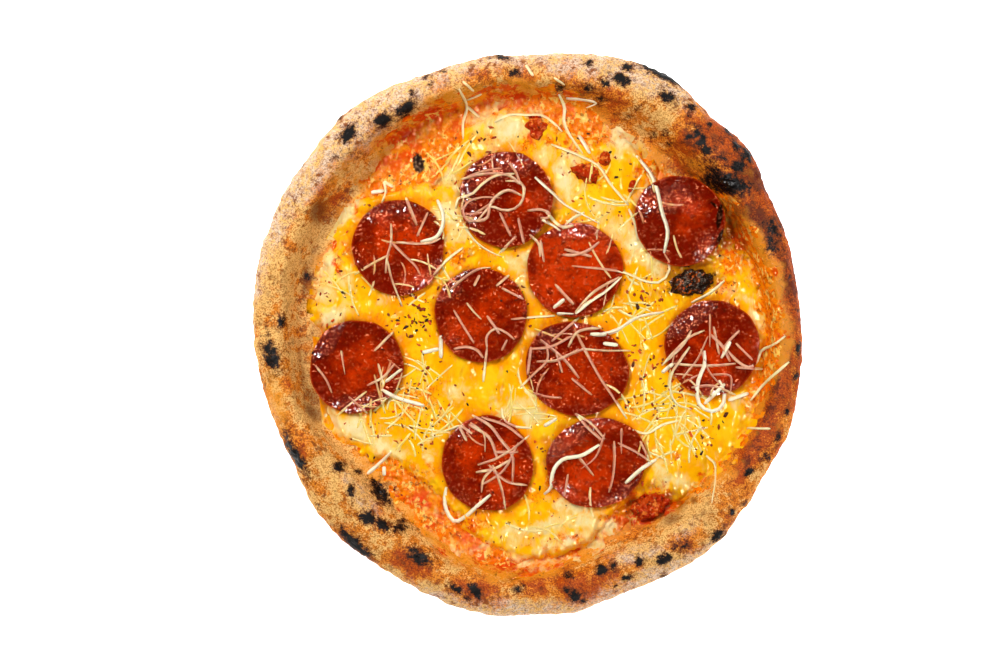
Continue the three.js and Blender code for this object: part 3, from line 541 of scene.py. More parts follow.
class PizzaStage(bpy.types.PropertyGroup):
    """Floor, lights and camera."""

    distance: length("Camera height", "From the pizza to the camera", 1.5)
    key_power: power("Key light", "Power of the key light", 17.5)
    fill_power: power("Fill light", "Power of the fill light", 11.4)
    spark_power: power("Small lights", "Power of each small light that glints in wet surfaces", 22)
    glow: FloatProperty(name="Floor glow", description="Light given off by the floor", default=1.3, min=0)
    floor: colour("Floor", "Pale floor", 236, 236, 236)


# Fields over the pizza, all worked out for many points at once.


def around(values, angle):
    """Values spread evenly round a circle, joined by a smooth closed curve."""
    values = np.asarray(values, float)
    count = len(values)
    place = (angle / math.tau) % 1.0 * count
    first = np.floor(place).astype(int)
    share = place - first
    a, b, c, d = (values[(first + step) % count] for step in (-1, 0, 1, 2))
    curve = share * (2 * a - 5 * b + 4 * c - d + share * (3 * (b - c) + d - a))
    return b + 0.5 * share * (c - a + curve)


def smooth(value):
    """0 to 1 with a gentle start and end, whatever the value."""
    value = np.clip(value, 0, 1)
    return value * value * (3 - 2 * value)


def bump(x, y, middle_x, middle_y, wide):
    """A round hump, 1 in its middle and 0 at its edge."""
    far = 4 * ((x - middle_x) ** 2 + (y - middle_y) ** 2) / wide**2
    return np.where(far < 1, (1 - far) ** 2, 0)


def uneven(x, y, wave):
    """Gentle unevenness, about -1 to 1. wave is the distance from hump to hump."""
    k = math.tau / wave
    along = np.sin(k * (x + 0.35 * y) + 1.3)
    across = np.sin(k * (0.8 * y - 0.5 * x) + 0.4 + np.sin(k * 0.6 * x))
    return 0.5 * (along + across)


def rough(points, wave, octaves=3, seed=0):
    """Random unevenness in space, about -1 to 1, whose humps are about wave apart."""
    random = np.random.default_rng(seed)
    total = np.zeros(len(points))
    for octave in range(octaves):
        slopes = random.normal(size=(32, 32, 32, 3))
        turn = np.linalg.qr(random.normal(size=(3, 3)))[0]
        place = points @ turn * (1.6 * 2.1**octave / wave) + 100
        cell = np.floor(place).astype(int)
        share = smooth(place - cell)
        for corner in itertools.product((0, 1), repeat=3):
            weight = np.prod(np.where(corner, share, 1 - share), axis=1)
            i, j, k = ((cell + corner) % 32).T
            away = place - cell - corner
            total += weight * np.einsum("ij,ij->i", slopes[i, j, k], away) * 0.55**octave
    return total


def marks(x, y, rows):
    """The strongest of many oval marks, each full in its middle and half as strong at its edge."""
    field = np.zeros_like(x)
    for mark_x, mark_y, long, wide, turn, strength in rows:
        cos, sin = math.cos(math.radians(turn)), math.sin(math.radians(turn))
        along = ((x - mark_x) * cos + (y - mark_y) * sin) / long
        across = ((y - mark_y) * cos - (x - mark_x) * sin) / wide
        field = np.maximum(field, strength * np.exp2(-(along**2 + across**2)))
    return field


def polar(x, y):
    """The angle and the distance from the middle."""
    return np.arctan2(y, x), np.hypot(x, y)


# The pizza's surfaces.


def rim_section(under_steps=9, over_steps=22, slope_steps=34, base_steps=10, floor_steps=5):
    """The rim's mean section, from the middle of the underside round to the middle of the base."""
    radius, foot, crest, height, girth, tuck = RIM.values()
    under = np.linspace(-math.pi / 2, 0, under_steps + 1)[:, None]
    over = np.linspace(0, math.pi / 2, over_steps + 1)[1:, None]
    slope = np.linspace(0, 1, slope_steps + 1)[1:, None]
    handles = (
        (crest, height),
        (crest - 0.5 * (crest - foot), height),
        (foot + 0.35 * (crest - foot), BASE_THICKNESS),
        (foot, BASE_THICKNESS),
    )
    weights = ((1 - slope) ** 3, 3 * slope * (1 - slope) ** 2, 3 * slope**2 * (1 - slope), slope**3)
    floor = np.linspace(0, radius - tuck, floor_steps + 1)[:-1, None]
    base = np.linspace(foot, 0, base_steps + 1)[1:, None]
    return np.vstack((
        np.hstack((floor, 0 * floor)),
        np.hstack((radius - tuck + tuck * np.cos(under), girth + girth * np.sin(under))),
        np.hstack((crest + (radius - crest) * np.cos(over), girth + (height - girth) * np.sin(over))),
        sum(weight * np.array(handle) for weight, handle in zip(weights, handles)),
        np.hstack((base, 0 * base + BASE_THICKNESS)),
    ))


def rim_at(angle):
    """The rim's inner foot, outline and crest height at each angle."""
    return around(FOOT_RADII, angle), around(OUTLINE_RADII, angle), around(CREST_HEIGHTS, angle)


def dough_relief(x, y):
    """The rim's large bubbles on its gentle unevenness."""
    total = 0.9 * uneven(x, y, 31)
    for at, out, wide, high in BUBBLES:
        angle = math.radians(at)
        total = total + high * bump(x, y, out * math.cos(angle), out * math.sin(angle), wide)
    return total


def dough_place(points):
    """Stretches the mean section to the rim that stands at each angle."""
    x, y, z = points.T
    angle, radius = polar(x, y)
    foot, outline, crest = rim_at(angle)
    share = (radius - RIM["foot"]) / (RIM["radius"] - RIM["foot"])
    reach = np.where(share < 0, radius * foot / RIM["foot"], foot + share * (outline - foot))
    x, y = reach * np.cos(angle), reach * np.sin(angle)
    rise = np.clip((z - BASE_THICKNESS) / (RIM["height"] - BASE_THICKNESS), 0, None)
    height = np.where(z <= BASE_THICKNESS, z, BASE_THICKNESS + rise * (crest - BASE_THICKNESS))
    height = np.where((share <= 0) | (z <= 0), z, height + rise * dough_relief(x, y))
    return np.column_stack((x, y, height))


def dough_top(x, y):
    """Height of the dough's upper surface, without its fine skin."""
    angle, radius = polar(x, y)
    foot, outline, crest = rim_at(angle)
    share = np.clip((radius - foot) / (outline - foot), 0, 1)
    section = rim_section()
    upper = section[section[:, 1] >= RIM["girth"]]
    slope = section[(section[:, 1] >= BASE_THICKNESS) & (section[:, 0] <= RIM["crest"])]
    profile = np.vstack((slope, upper[upper[:, 0] > RIM["crest"]]))
    profile = profile[np.argsort(profile[:, 0])]
    mean = RIM["foot"] + share * (RIM["radius"] - RIM["foot"])
    z = np.interp(mean, profile[:, 0], profile[:, 1])
    rise = (z - BASE_THICKNESS) / (RIM["height"] - BASE_THICKNESS)
    return BASE_THICKNESS + rise * (crest - BASE_THICKNESS + dough_relief(x, y))


def slice_reach(slice_row, angle):
    """Half-width of a slice in the direction angle, measured from its middle."""
    x, _, long, wide, turn = slice_row[:5]
    along = angle - math.radians(turn)
    oval = long * wide / np.hypot(wide * np.cos(along), long * np.sin(along))
    wobble = sum(size * np.sin(waves * angle + shift * x) for size, waves, shift in SLICE_WOBBLE)
    return oval * (1 + wobble)


def slice_floor(slice_row, angle, share):
    """Height of a slice's underside: flat in the middle, cupped at the edge."""
    x, y, *_, cup, lift, lean = slice_row
    out = share * slice_reach(slice_row, angle)
    wrinkle = 0.25 * share * uneven(x + out * np.cos(angle), y + out * np.sin(angle), 11)
    tilted = lift * share * np.cos(angle - math.radians(lean))
    return CHEESE_TOP - SLICE_SINK + cup * share**4 + lift * 0.6 + tilted + wrinkle


def under_slices(x, y):
    """1 beneath a slice, 0 beyond its edge."""
    field = np.zeros_like(x)
    for row in SLICES:
        angle, out = polar(x - row[0], y - row[1])
        field = np.maximum(field, smooth((slice_reach(row, angle) - 0.6 - out) / 2))
    return field


def near_slices(x, y):
    """1 at the edge of a slice, and half that 3 mm away."""
    field = np.zeros_like(x)
    for row in SLICES:
        angle, out = polar(x - row[0], y - row[1])
        field = np.maximum(field, np.exp2(-np.abs(out - slice_reach(row, angle)) / 3))
    return field


def cheese_reach(angle):
    """How far the cheese flows out at an angle, with its small waves."""
    return around(CHEESE_RADII, angle) + 1.2 * np.sin(11 * angle) + 0.8 * np.sin(23 * angle + 1)


def mounds(x, y):
    """The cheese's mounds on its gentle unevenness."""
    total = 0.35 * uneven(x, y, 17)
    for mound_x, mound_y, wide, high in MOUNDS:
        total = total + high * bump(x, y, mound_x, mound_y, wide)
    return total


# Meshes and pieces.


def vectors(mesh, kind="co"):
    """The places of the vertices, or with kind "normal" their normals, one to a row."""
    rows = np.empty(len(mesh.vertices) * 3)
    mesh.vertices.foreach_get(kind, rows)
    return rows.reshape(-1, 3)


def set_points(mesh, points):
    mesh.vertices.foreach_set("co", np.ascontiguousarray(points).ravel())
    mesh.update()


def set_field(mesh, name, values):
    """Keeps a number for every vertex, for the materials to read."""
    layer = mesh.attributes.get(name) or mesh.attributes.new(name, "FLOAT", "POINT")
    layer.data.foreach_set("value", np.clip(values, 0, 2).astype(np.float32))


def bare_mesh(bm, name):
    """Makes the mesh as it is."""
    mesh = bpy.data.meshes.new(name)
    bm.to_mesh(mesh)
    bm.free()
    return mesh


def shell_mesh(bm, name):
    """Merges the doubles, turns the faces outwards and makes the mesh, still in millimetres."""
    bmesh.ops.remove_doubles(bm, verts=bm.verts, dist=MERGE_DISTANCE)
    bmesh.ops.recalc_face_normals(bm, faces=bm.faces)
    return bare_mesh(bm, name)


def placed(name, data):
    """An object of the scene that holds the data."""
    obj = bpy.data.objects.new(name, data)
    bpy.context.scene.collection.objects.link(obj)
    return obj


def piece(mesh, material, slot, *nodes):
    """Turns a mesh in millimetres into a finished piece that stands for the nodes."""
    set_points(mesh, vectors(mesh) * MM)
    mesh.shade_smooth()
    mesh.materials.append(material)
    obj = placed(mesh.name, mesh)
    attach(obj, "root")
    if nodes:
        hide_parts(*nodes)
    return obj


def cell_disc(cells, rings):
    """A round disc of even square cells, radius 1 and top at height 1, closed below by a few rings."""
    bm = bmesh.new()
    bmesh.ops.create_grid(bm, x_segments=cells, y_segments=cells, size=1)
    for vert in bm.verts:
        x, y, _ = vert.co
        vert.co = (x * math.sqrt(1 - y * y / 2), y * math.sqrt(1 - x * x / 2), 1)
    edge = [e for e in bm.edges if e.is_boundary]
    last = 1
    for ring in rings:
        made = bmesh.ops.extrude_edge_only(bm, edges=edge)["geom"]
        verts = [g for g in made if isinstance(g, bmesh.types.BMVert)]
        edge = [g for g in made if isinstance(g, bmesh.types.BMEdge) and g.is_boundary]
        for vert in verts:
            vert.co = (vert.co.x * ring / last, vert.co.y * ring / last, 0)
        last = ring
    bmesh.ops.contextual_create(bm, geom=edge)
    return bm


class Blanket:
    """A disc stretched to its reach at each angle, ready to be given its height."""

    def __init__(self, name, cells, reach, middle=(0, 0), rings=(1,)):
        self.mesh = shell_mesh(cell_disc(cells, rings), name)
        x, y, z = vectors(self.mesh).T
        self.top = z > 0.5
        self.angle, self.share = polar(x, y)
        self.reach = reach(self.angle)
        out = self.share * self.reach
        self.x = middle[0] + out * np.cos(self.angle)
        self.y = middle[1] + out * np.sin(self.angle)
        self.flat = np.column_stack((self.x, self.y, 0 * self.x))

    def rise(self, height):
        """Sets the height of every point."""
        set_points(self.mesh, np.column_stack((self.x, self.y, height)))


# Materials.


class Finish:
    """A procedural material and short ways to add its nodes."""

    def __init__(self, name, **shader):
        self.material = bpy.data.materials.new(name)
        self.material.use_nodes = True
        self.tree = self.material.node_tree
        self.shader = self.tree.nodes["Principled BSDF"]
        for socket, value in shader.items():
            self.shader.inputs[socket.replace("_", " ")].default_value = value
        self.place = self.tree.nodes.new("ShaderNodeTexCoord").outputs["Object"]

    def link(self, value, socket):
        if isinstance(value, bpy.types.NodeSocket):
            self.tree.links.new(value, socket)
        elif value is not None:
            socket.default_value = value

    def node(self, kind, inputs=(), **settings):
        made = self.tree.nodes.new(kind)
        for name, value in settings.items():
            setattr(made, name, value)
        for key, value in dict(inputs).items():
            self.link(value, made.inputs[key])
        return made

    def field(self, name):
        return self.node("ShaderNodeAttribute", attribute_name=name).outputs["Fac"]

    def noise(self, size, detail=3, roughness=0.6, stretch=None, swirl=0):
        """Cloudy noise, 0 to 1 about 0.5, whose lumps are size millimetres across."""
        place = self.place
        if stretch:
            place = self.node("ShaderNodeMapping", {"Vector": place, "Scale": stretch}).outputs[0]
        inputs = {
            "Vector": place, "Scale": 1 / (size * MM), "Detail": detail, "Roughness": roughness,
            "Distortion": swirl,
        }
        return self.node("ShaderNodeTexNoise", inputs).outputs["Fac"]

    def math(self, operation, a, b=None, c=None):
        inputs = {i: v for i, v in enumerate((a, b, c)) if v is not None}
        return self.node("ShaderNodeMath", inputs, operation=operation).outputs[0]

    def times(self, a, b):
        return self.math("MULTIPLY", a, b)

    def band(self, value, low, high, start=0, end=1):
        """start below low, end above high, and smooth between."""
        inputs = {"Value": value, "From Min": low, "From Max": high, "To Min": start, "To Max": end}
        return self.node("ShaderNodeMapRange", inputs, interpolation_type="SMOOTHSTEP").outputs["Result"]

    def broken(self, mask, jitter, low, high):
        """A mask whose edge is broken up by noise."""
        return self.band(self.sway(mask, (jitter, 1.6)), low, high)

    def sway(self, value, *waves):
        """A value moved up and down by noises, each given with its strength."""
        for noise, strength in waves:
            value = self.math("MULTIPLY_ADD", self.math("SUBTRACT", noise, 0.5), strength, value)
        return value

    def mix(self, share, a, b, blend="MIX"):
        made = self.node("ShaderNodeMix", data_type="RGBA", blend_type=blend)
        sockets = {s.identifier: s for s in made.inputs}
        for name, value in (("Factor_Float", share), ("A_Color", a), ("B_Color", b)):
            if isinstance(value, tuple) and len(value) == 3:
                value = (*value, 1)
            self.link(value, sockets[name])
        return next(s for s in made.outputs if s.identifier == "Result_Color")

    def layers(self, paint, *rows):
        """A colour with others laid over it in order. Each row is a mask, a colour and maybe a blend."""
        for mask, over, *blend in rows:
            paint = self.mix(mask, paint, over, *blend)
        return paint

    def relief(self, *waves):
        """Relief in the shading: heights, each with its depth in millimetres."""
        normal = None
        for height, depth in waves:
            inputs = {"Height": height, "Distance": depth * MM, "Normal": normal}
            normal = self.node("ShaderNodeBump", inputs).outputs["Normal"]
        return normal

    def done(self, **linked):
        for name, value in linked.items():
            self.link(value, self.shader.inputs[name.replace("_", " ")])
        return self.material


def dough_finish(dough):
    """Baked dough: golden to brown, floury, grainy, with black leopard spots."""
    look = Finish("baked dough")
    grain = look.noise(0.9, 2, 0.7)
    fine = look.noise(2.2, 4, 0.7)
    medium = look.noise(6, 5, 0.7)
    broad = look.noise(17, 4, 0.6)
    flour, char, shade = (look.field(name) for name in ("flour", "char", "shade"))
    baked = look.math("MULTIPLY_ADD", flour, -0.35, look.field("toast"))
    toast = look.sway(baked, (medium, 2.6), (broad, 2.2), (grain, 1.1))
    powder = look.sway(0.6, (grain, 2), (fine, 2.2), (medium, 2.4))
    powder = look.band(look.times(flour, powder), 0.1, 0.85)
    powder = look.times(powder, look.band(toast, 0.45, 1.1, 1, 0.25))
    fleck = look.band(look.noise(4, 4, 0.7), 0.53, 0.62)
    fleck = look.times(fleck, look.band(broad, 0.4, 0.6, 0.2, 0.95))
    stain = look.broken(look.field("stain"), medium, 0.25, 0.9)
    smear = look.broken(look.field("ruddy"), fine, 0.35, 0.8)
    scorch = look.sway(char, (grain, 0.9), (look.noise(3, 4, 0.65), 1.9))
    skin = look.layers(
        tuple(dough.golden),
        (look.band(toast, 0, 0.3), tuple(dough.orange)),
        (look.band(toast, 0.4, 0.75), tuple(dough.toasted)),
        (look.band(toast, 0.95, 1.4), DEEP_TOAST),
        (powder, tuple(dough.flour)),
        (look.band(grain, 0.44, 0.6, 0, 0.85), GRAIN_SHADOW, "MULTIPLY"),
        (fleck, BROWN_FLECK),
        (look.times(stain, 0.8), tuple(dough.stain)),
        (smear, SAUCE_SMEAR),
        # Painted shade in hollows at the rim's foot, and oily brown patches.
        (look.times(look.band(shade, 0.2, 1), 0.8), DOUGH_SHADE_AND_OIL),
        (look.band(scorch, 0.1, 0.6, 0, 0.85), SINGED),
        (look.band(scorch, 0.44, 0.74), tuple(dough.scorched)),
        # Thickest flour, painted whiter: also painted light on the shaded lower right edge.
        (look.band(flour, 1, 1.3), FLOUR_AND_PAINTED_LIGHT),
    )
    gloss = look.band(char, 0.96, 1.1)
    burnt_folds = look.times(look.noise(4, 1), gloss)
    oily = look.band(look.field("stain"), 0.3, 1, 0.62, 0.16)
    crisp = look.times(look.band(scorch, 0.5, 1, 0, 0.45), look.band(flour, 0, 0.3, 1, 0))
    return look.done(
        Base_Color=skin,
        Normal=look.relief((medium, 1), (fine, 0.5), (burnt_folds, 6)),
        Roughness=look.math("SUBTRACT", oily, crisp),
        Specular_IOR_Level=look.math("MULTIPLY_ADD", gloss, 0.5, 0.08),
    )


def topping_paint(look, toppings, base, light, mottle):
    """The colours that sauce and cheese share: their own, cream, amber, tomato red, and brown for oily
    patches and painted shade.
    """
    fine = look.noise(1.8, 4, 0.65)
    medium = look.noise(5, 4, 0.6)
    streaks = look.noise(9, 3, 0.6, (1, 0.55, 1), 1.2)
    bits = look.noise(3, 4, 0.65, (1, 0.6, 1), 0.6)
    oil = look.sway(look.field("oil"), (streaks, 1.4), (bits, 0.8))
    cream = look.sway(look.field("cream"), (streaks, 1.9), (bits, 0.9))
    curds = look.times(look.band(cream, 0.3, 0.8), look.band(bits, 0.48, 0.66))
    amber = look.sway(look.field("amber"), (medium, 1.6), (bits, 1))
    amber = look.band(amber, 0.25, 0.95)
    ruddy = look.sway(look.field("ruddy"), (look.noise(5, 5, 0.7), 2), (fine, 0.8))
    ruddy = look.band(ruddy, 0.3, 1.1)
    baked = look.math("MAXIMUM", amber, ruddy)
    pulp = look.times(look.band(fine, 0.5, 0.64), baked)
    pale = look.times(look.band(bits, 0.52, 0.6), baked)
    dark = look.times(look.band(look.noise(3, 4, 0.7), 0.56, 0.66), baked)
    shade = look.band(look.sway(look.field("shade"), (bits, 0.7)), 0.15, 1)
    char = look.sway(look.field("char"), (fine, 0.9))
    return look.layers(
        base,
        (look.band(mottle, 0.42, 0.6), light),
        (look.band(oil, 0.3, 1.1, 0, 0.75), tuple(toppings.amber)),
        (look.band(cream, 0.18, 0.95), tuple(toppings.cream)),
        (look.times(curds, 0.75), CURD),
        (amber, tuple(toppings.amber)),
        (look.times(ruddy, 0.9), tuple(toppings.ruddy)),
        (pulp, PULP),
        (look.times(pale, 0.85), PALE_BIT),
        (look.times(dark, 0.85), BROWN_BIT),
        (look.band(cream, 0.85, 1.35, 0, 0.9), WHITE_CURD),
        # Brown oil, and painted shade in hollows and beside the slices.
        (look.times(shade, 0.85), tuple(toppings.shade)),
        (look.band(char, 0.3, 0.55), BURNT),
    )


def cheese_finish(toppings):
    look = Finish(
        "melted cheese", Roughness=0.14, Subsurface_Weight=0.1, Subsurface_Scale=1.5 * MM,
        Subsurface_Radius=(1, 0.6, 0.25), Specular_IOR_Level=0.15, Specular_Tint=(1, 0.8, 0.45, 1),
    )
    mottle = look.noise(12, 3, 0.6, (1, 0.6, 1), 1)
    return look.done(
        Base_Color=topping_paint(look, toppings, tuple(toppings.yellow), LIGHT_CHEESE, mottle),
        Normal=look.relief((look.noise(9, 1, 0.5, (1, 0.6, 1), 0.6), 2.8), (look.noise(3.5, 0), 0.4)),
    )


def sauce_finish(toppings):
    look = Finish("tomato sauce", Roughness=0.07, Specular_IOR_Level=0.3, Specular_Tint=(1, 0.5, 0.25, 1))
    return look.done(
        Base_Color=topping_paint(look, toppings, SAUCE_RED, SAUCE_ORANGE, look.noise(6, 5, 0.65)),
        Normal=look.relief((look.noise(5, 1, 0.5), 3), (look.noise(2.4, 0), 0.8)),
    )


def pepperoni_finish(pepperoni):
    look = Finish("pepperoni", Roughness=0.06, Specular_Tint=(1, 0.3, 0.14, 1), Coat_Roughness=0.04)
    broad = look.noise(15, 3, 0.6)
    medium = look.noise(3.6, 4, 0.65)
    fine = look.noise(1.4, 2, 0.6)
    glow = look.sway(look.field("glow"), (broad, 3), (medium, 1.4))
    wet = look.band(look.sway(look.field("ruffle"), (broad, 2.4), (medium, 1)), 0.3, 1, 0.1, 0.9)
    fat = look.times(look.band(fine, 0.63, 0.7), look.band(wet, 0, 1, 0.3, 1))
    gap = look.sway(look.field("gap"), (fine, 0.6))
    meat = look.layers(
        tuple(pepperoni.meat),
        (look.band(glow, 0.1, 1), tuple(pepperoni.fat)),
        (look.times(look.band(medium, 0.48, 0.66), 0.6), MEAT_GRAIN),
        (look.times(look.band(look.field("edge"), 0.5, 1), 0.7), tuple(pepperoni.rim)),
        (look.times(fat, 0.6), FAT_SPECK),
        # Painted shadow in the gaps under turned-up edges.
        (look.band(gap, 0.35, 0.8), GAP_SHADOW),
    )
    wrinkles = look.times(look.noise(3.6, 1, 0.6), look.math("MAXIMUM", wet, 0.4))
    return look.done(
        Base_Color=meat,
        Normal=look.relief((look.noise(7, 1, 0.5), 1.6), (wrinkles, 4.5)),
        Specular_IOR_Level=wet,
        Coat_Weight=look.band(wet, 0.5, 0.9, 0, 0.8),
    )


def tomato_finish(toppings):
    look = Finish("crushed tomato", Roughness=0.12, Specular_IOR_Level=0.3, Specular_Tint=(1, 0.4, 0.15, 1))
    paint = look.layers(
        tuple(toppings.tomato),
        (look.band(look.noise(4, 4), 0.42, 0.6), TOMATO_FLESH),
        (look.band(look.noise(3, 3), 0.54, 0.66), TOMATO_DARK),
        (look.band(look.noise(4.4, 3), 0.58, 0.66), TOMATO_PALE),
    )
    return look.done(Base_Color=paint, Normal=look.relief((look.noise(3, 2, 0.5), 3)))


def blister_finish(toppings):
    look = Finish("scorched blister", Roughness=0.2, Specular_IOR_Level=0.2, Specular_Tint=(1, 0.8, 0.6, 1))
    paint = look.layers(
        tuple(toppings.scorched),
        (look.band(look.noise(5, 4, 0.6), 0.5, 0.66), BLISTER_BROWN),
        (look.band(look.noise(2.4, 3, 0.6), 0.58, 0.68), BLISTER_ORANGE),
    )
    return look.done(Base_Color=paint, Normal=look.relief((look.noise(3, 2, 0.5), 2)))


def shred_finish(shreds, name, roughness, pale, dry):
    look = Finish(
        name, Roughness=roughness, Subsurface_Weight=0.2, Subsurface_Scale=1.5 * MM,
        Subsurface_Radius=(1, 0.6, 0.3),
    )
    soaked = look.sway(look.field("soaked"), (look.noise(6, 2, 0.6), 1.6))
    soaked = look.times(look.band(soaked, 0.1, 1), look.band(look.field("soaked"), 0, 0.2))
    paint = look.layers(
        tuple(pale),
        (soaked, tuple(shreds.pink)),
        (look.field("dry"), tuple(dry)),
        (look.band(look.noise(2.5), 0.35, 0.65, 0.25, 0), SHRED_MOTTLE),
    )
    return look.done(Base_Color=paint, Normal=look.relief((look.noise(0.8), 0.2)))


def speck_finish():
    look = Finish("herb and pepper specks", Roughness=0.45, Specular_IOR_Level=0.1)
    tone = look.field("tone")
    darkest, brown, orange = SPECK_COLOURS
    rows = ((look.band(tone, 0.05, 0.35), brown), (look.band(tone, 0.55, 0.9), orange))
    return look.done(Base_Color=look.layers(darkest, *rows))


# Operators: one for each piece or group of like pieces.


def on_one_ring(a, b, slack=1e-3):
    """Whether two vertices are equally high and equally far from the middle."""
    return abs(a.co.xy.length - b.co.xy.length) < slack and abs(a.co.z - b.co.z) < slack


def roughen_crust(mesh, lump_height):
    """Gives the smooth rim its lumps, creases and scorched skin, and paints where it is baked."""
    points = vectors(mesh)
    x, y, z = points.T
    angle, radius = polar(x, y)
    past_sauce = radius - around(SAUCE_RADII, angle)
    char = marks(x, y, CHAR)
    skin = lump_height * (rough(points, 13, octaves=2, seed=3) + 0.45 * rough(points, 5, seed=4))
    flakes = 1 + rough(points, 2.5, octaves=2, seed=5)
    skin += SCORCH_RISE * np.clip(char - 0.3, 0, 1) * flakes - CREASE_DEPTH * marks(x, y, CREASES)
    skin *= smooth((z - 0.6) / 4) * smooth((past_sauce + 16) / 8)
    set_points(mesh, points + vectors(mesh, "normal") * skin[:, None])
    wander = 5 * rough(points, 22, seed=2)
    spill = past_sauce - wander
    set_field(mesh, "char", char * smooth((z - 1.5) / 3))
    outer = smooth((radius - around(FLOUR_RADII, angle) + 0.6 * wander + 8) / 18)
    set_field(mesh, "flour", np.maximum(outer, marks(x, y, FLOURED)))
    baked = around(TOASTING, angle) + marks(x, y, TOASTED) - 0.15
    set_field(mesh, "toast", baked * smooth((radius - 100) / 30))
    set_field(mesh, "stain", np.maximum(1 - smooth((spill + 2) / 11), marks(x, y, OILED)))
    set_field(mesh, "ruddy", marks(x, y, RUDDY) * (1 - smooth((spill - 1) / 6)))
    # SHADE marks on the dough: painted shade in hollows at the rim's foot, and oily brown patches.
    set_field(mesh, "shade", marks(x, y, SHADE))


class PIZZA_OT_crust(bpy.types.Operator):
    """Bake the crust: the flat base and its puffed rim"""

    bl_idname = "pizza.crust"
    bl_label = "Crust"

    def execute(self, context):
        dough = context.scene.pizza_dough
        bm = bmesh.new()
        verts = [bm.verts.new((r, 0, z)) for r, z in rim_section().tolist()]
        edges = [bm.edges.new(pair) for pair in zip(verts, verts[1:])]
        bmesh.ops.spin(
            bm, geom=verts + edges, cent=(0, 0, 0), axis=(0, 0, 1), angle=math.tau,
            steps=dough.turns, use_merge=True,
        )
        bmesh.ops.remove_doubles(bm, verts=bm.verts, dist=MERGE_DISTANCE)
        around_edges = [e for e in bm.edges if on_one_ring(*e.verts)]
        bmesh.ops.subdivide_edges(bm, edges=around_edges, cuts=dough.finer - 1, use_grid_fill=True)
        mesh = shell_mesh(bm, "dough_crust")
        # The new points lie on straight chords between the spin's steps, and are moved out to the circle.
        points = vectors(mesh)
        step = math.tau / dough.turns
        chord = np.cos(np.arctan2(points[:, 1], points[:, 0]) % step - step / 2) / math.cos(step / 2)
        points[:, :2] *= chord[:, None]
        set_points(mesh, dough_place(points))
        roughen_crust(mesh, dough.roughness_height / MM)
        piece(mesh, dough_finish(dough), "dough", "crust")
        return {"FINISHED"}


def topping_fields(mesh, relief, border=0):
    """Paints sauce or cheese with the marks that they share. border is 1 along an oily orange edge."""
    points = vectors(mesh)
    x, y, _ = points.T
    push_x = x + 3 * rough(points, 15, seed=11)
    push_y = y + 3 * rough(points, 15, seed=12)
    for name, rows in (("cream", CREAM), ("ruddy", RUDDY)):
        set_field(mesh, name, marks(push_x, push_y, rows))
    set_field(mesh, "amber", np.maximum(marks(push_x, push_y, AMBER), 0.85 * border))
    set_field(mesh, "char", marks(x, y, CHAR))
    close = near_slices(x, y)
    set_field(mesh, "oil", 0.3 - 0.3 * relief + 0.8 * close)
    # Painted shade: cheese and sauce are darkened along the edge of every slice.
    set_field(mesh, "shade", np.maximum(marks(push_x, push_y, SHADE), 0.5 * close**3 + 0.3 * relief * close))


class PIZZA_OT_sauce(bpy.types.Operator):
    """Spread the tomato sauce, which climbs a little way up the rim"""

    bl_idname = "pizza.sauce"
    bl_label = "Tomato sauce"

    def execute(self, context):
        toppings = context.scene.pizza_toppings
        sauce = Blanket("tomato_sauce_layer", toppings.cells, lambda angle: around(SAUCE_RADII, angle) + 4)
        relief = 0.8 * rough(sauce.flat, 6, seed=21) + 0.35 * rough(sauce.flat, 2.2, octaves=2, seed=22)
        ragged = (1 - sauce.share) * sauce.reach - 4 + 5 * rough(sauce.flat, 12, seed=23)
        thick = 1.4 * smooth(ragged / 7 + 0.4) - 0.7 + 0.6 * relief * smooth(ragged / 8 + 0.5)
        sauce.rise(np.where(sauce.top, dough_top(sauce.x, sauce.y) + thick, BASE_THICKNESS - 1))
        topping_fields(sauce.mesh, relief)
        piece(sauce.mesh, sauce_finish(toppings), "sauce", "tomato_sauce")
        return {"FINISHED"}


class PIZZA_OT_cheese(bpy.types.Operator):
    """Melt the cheese, with mounds, flows and a ragged edge"""

    bl_idname = "pizza.cheese"
    bl_label = "Melted cheese"

    def execute(self, context):
        toppings = context.scene.pizza_toppings
        cheese = Blanket("melted_cheese_sheet", toppings.cells, lambda angle: cheese_reach(angle) + 6)
        x, y, angle = cheese.x, cheese.y, cheese.angle
        broad, fine, wander = (
            rough(cheese.flat, wave, octaves=2, seed=seed) for wave, seed in ((16, 31), (6, 32), (12, 33))
        )
        relief = broad + 0.25 * fine
        ragged = (1 - cheese.share) * cheese.reach - 3 + 4 * wander
        height = CHEESE_TOP + mounds(x, y) + 0.55 * relief - 1.3 * under_slices(x, y)
        base = dough_top(x, y) - 1.5
        height = np.maximum(height, base + 2.5 + 0.4 * relief)
        body = smooth(ragged / 9 + 0.3)
        cheese.rise(np.where(cheese.top, base + body * (height - base), BASE_THICKNESS))
        bare = smooth((around(SAUCE_RADII, angle) - around(CHEESE_RADII, angle)) / 8)
        topping_fields(cheese.mesh, relief, border=bare * (1 - smooth((ragged + 1) / 9)))
        piece(cheese.mesh, cheese_finish(toppings), "cheese", "melted_cheese")
        return {"FINISHED"}


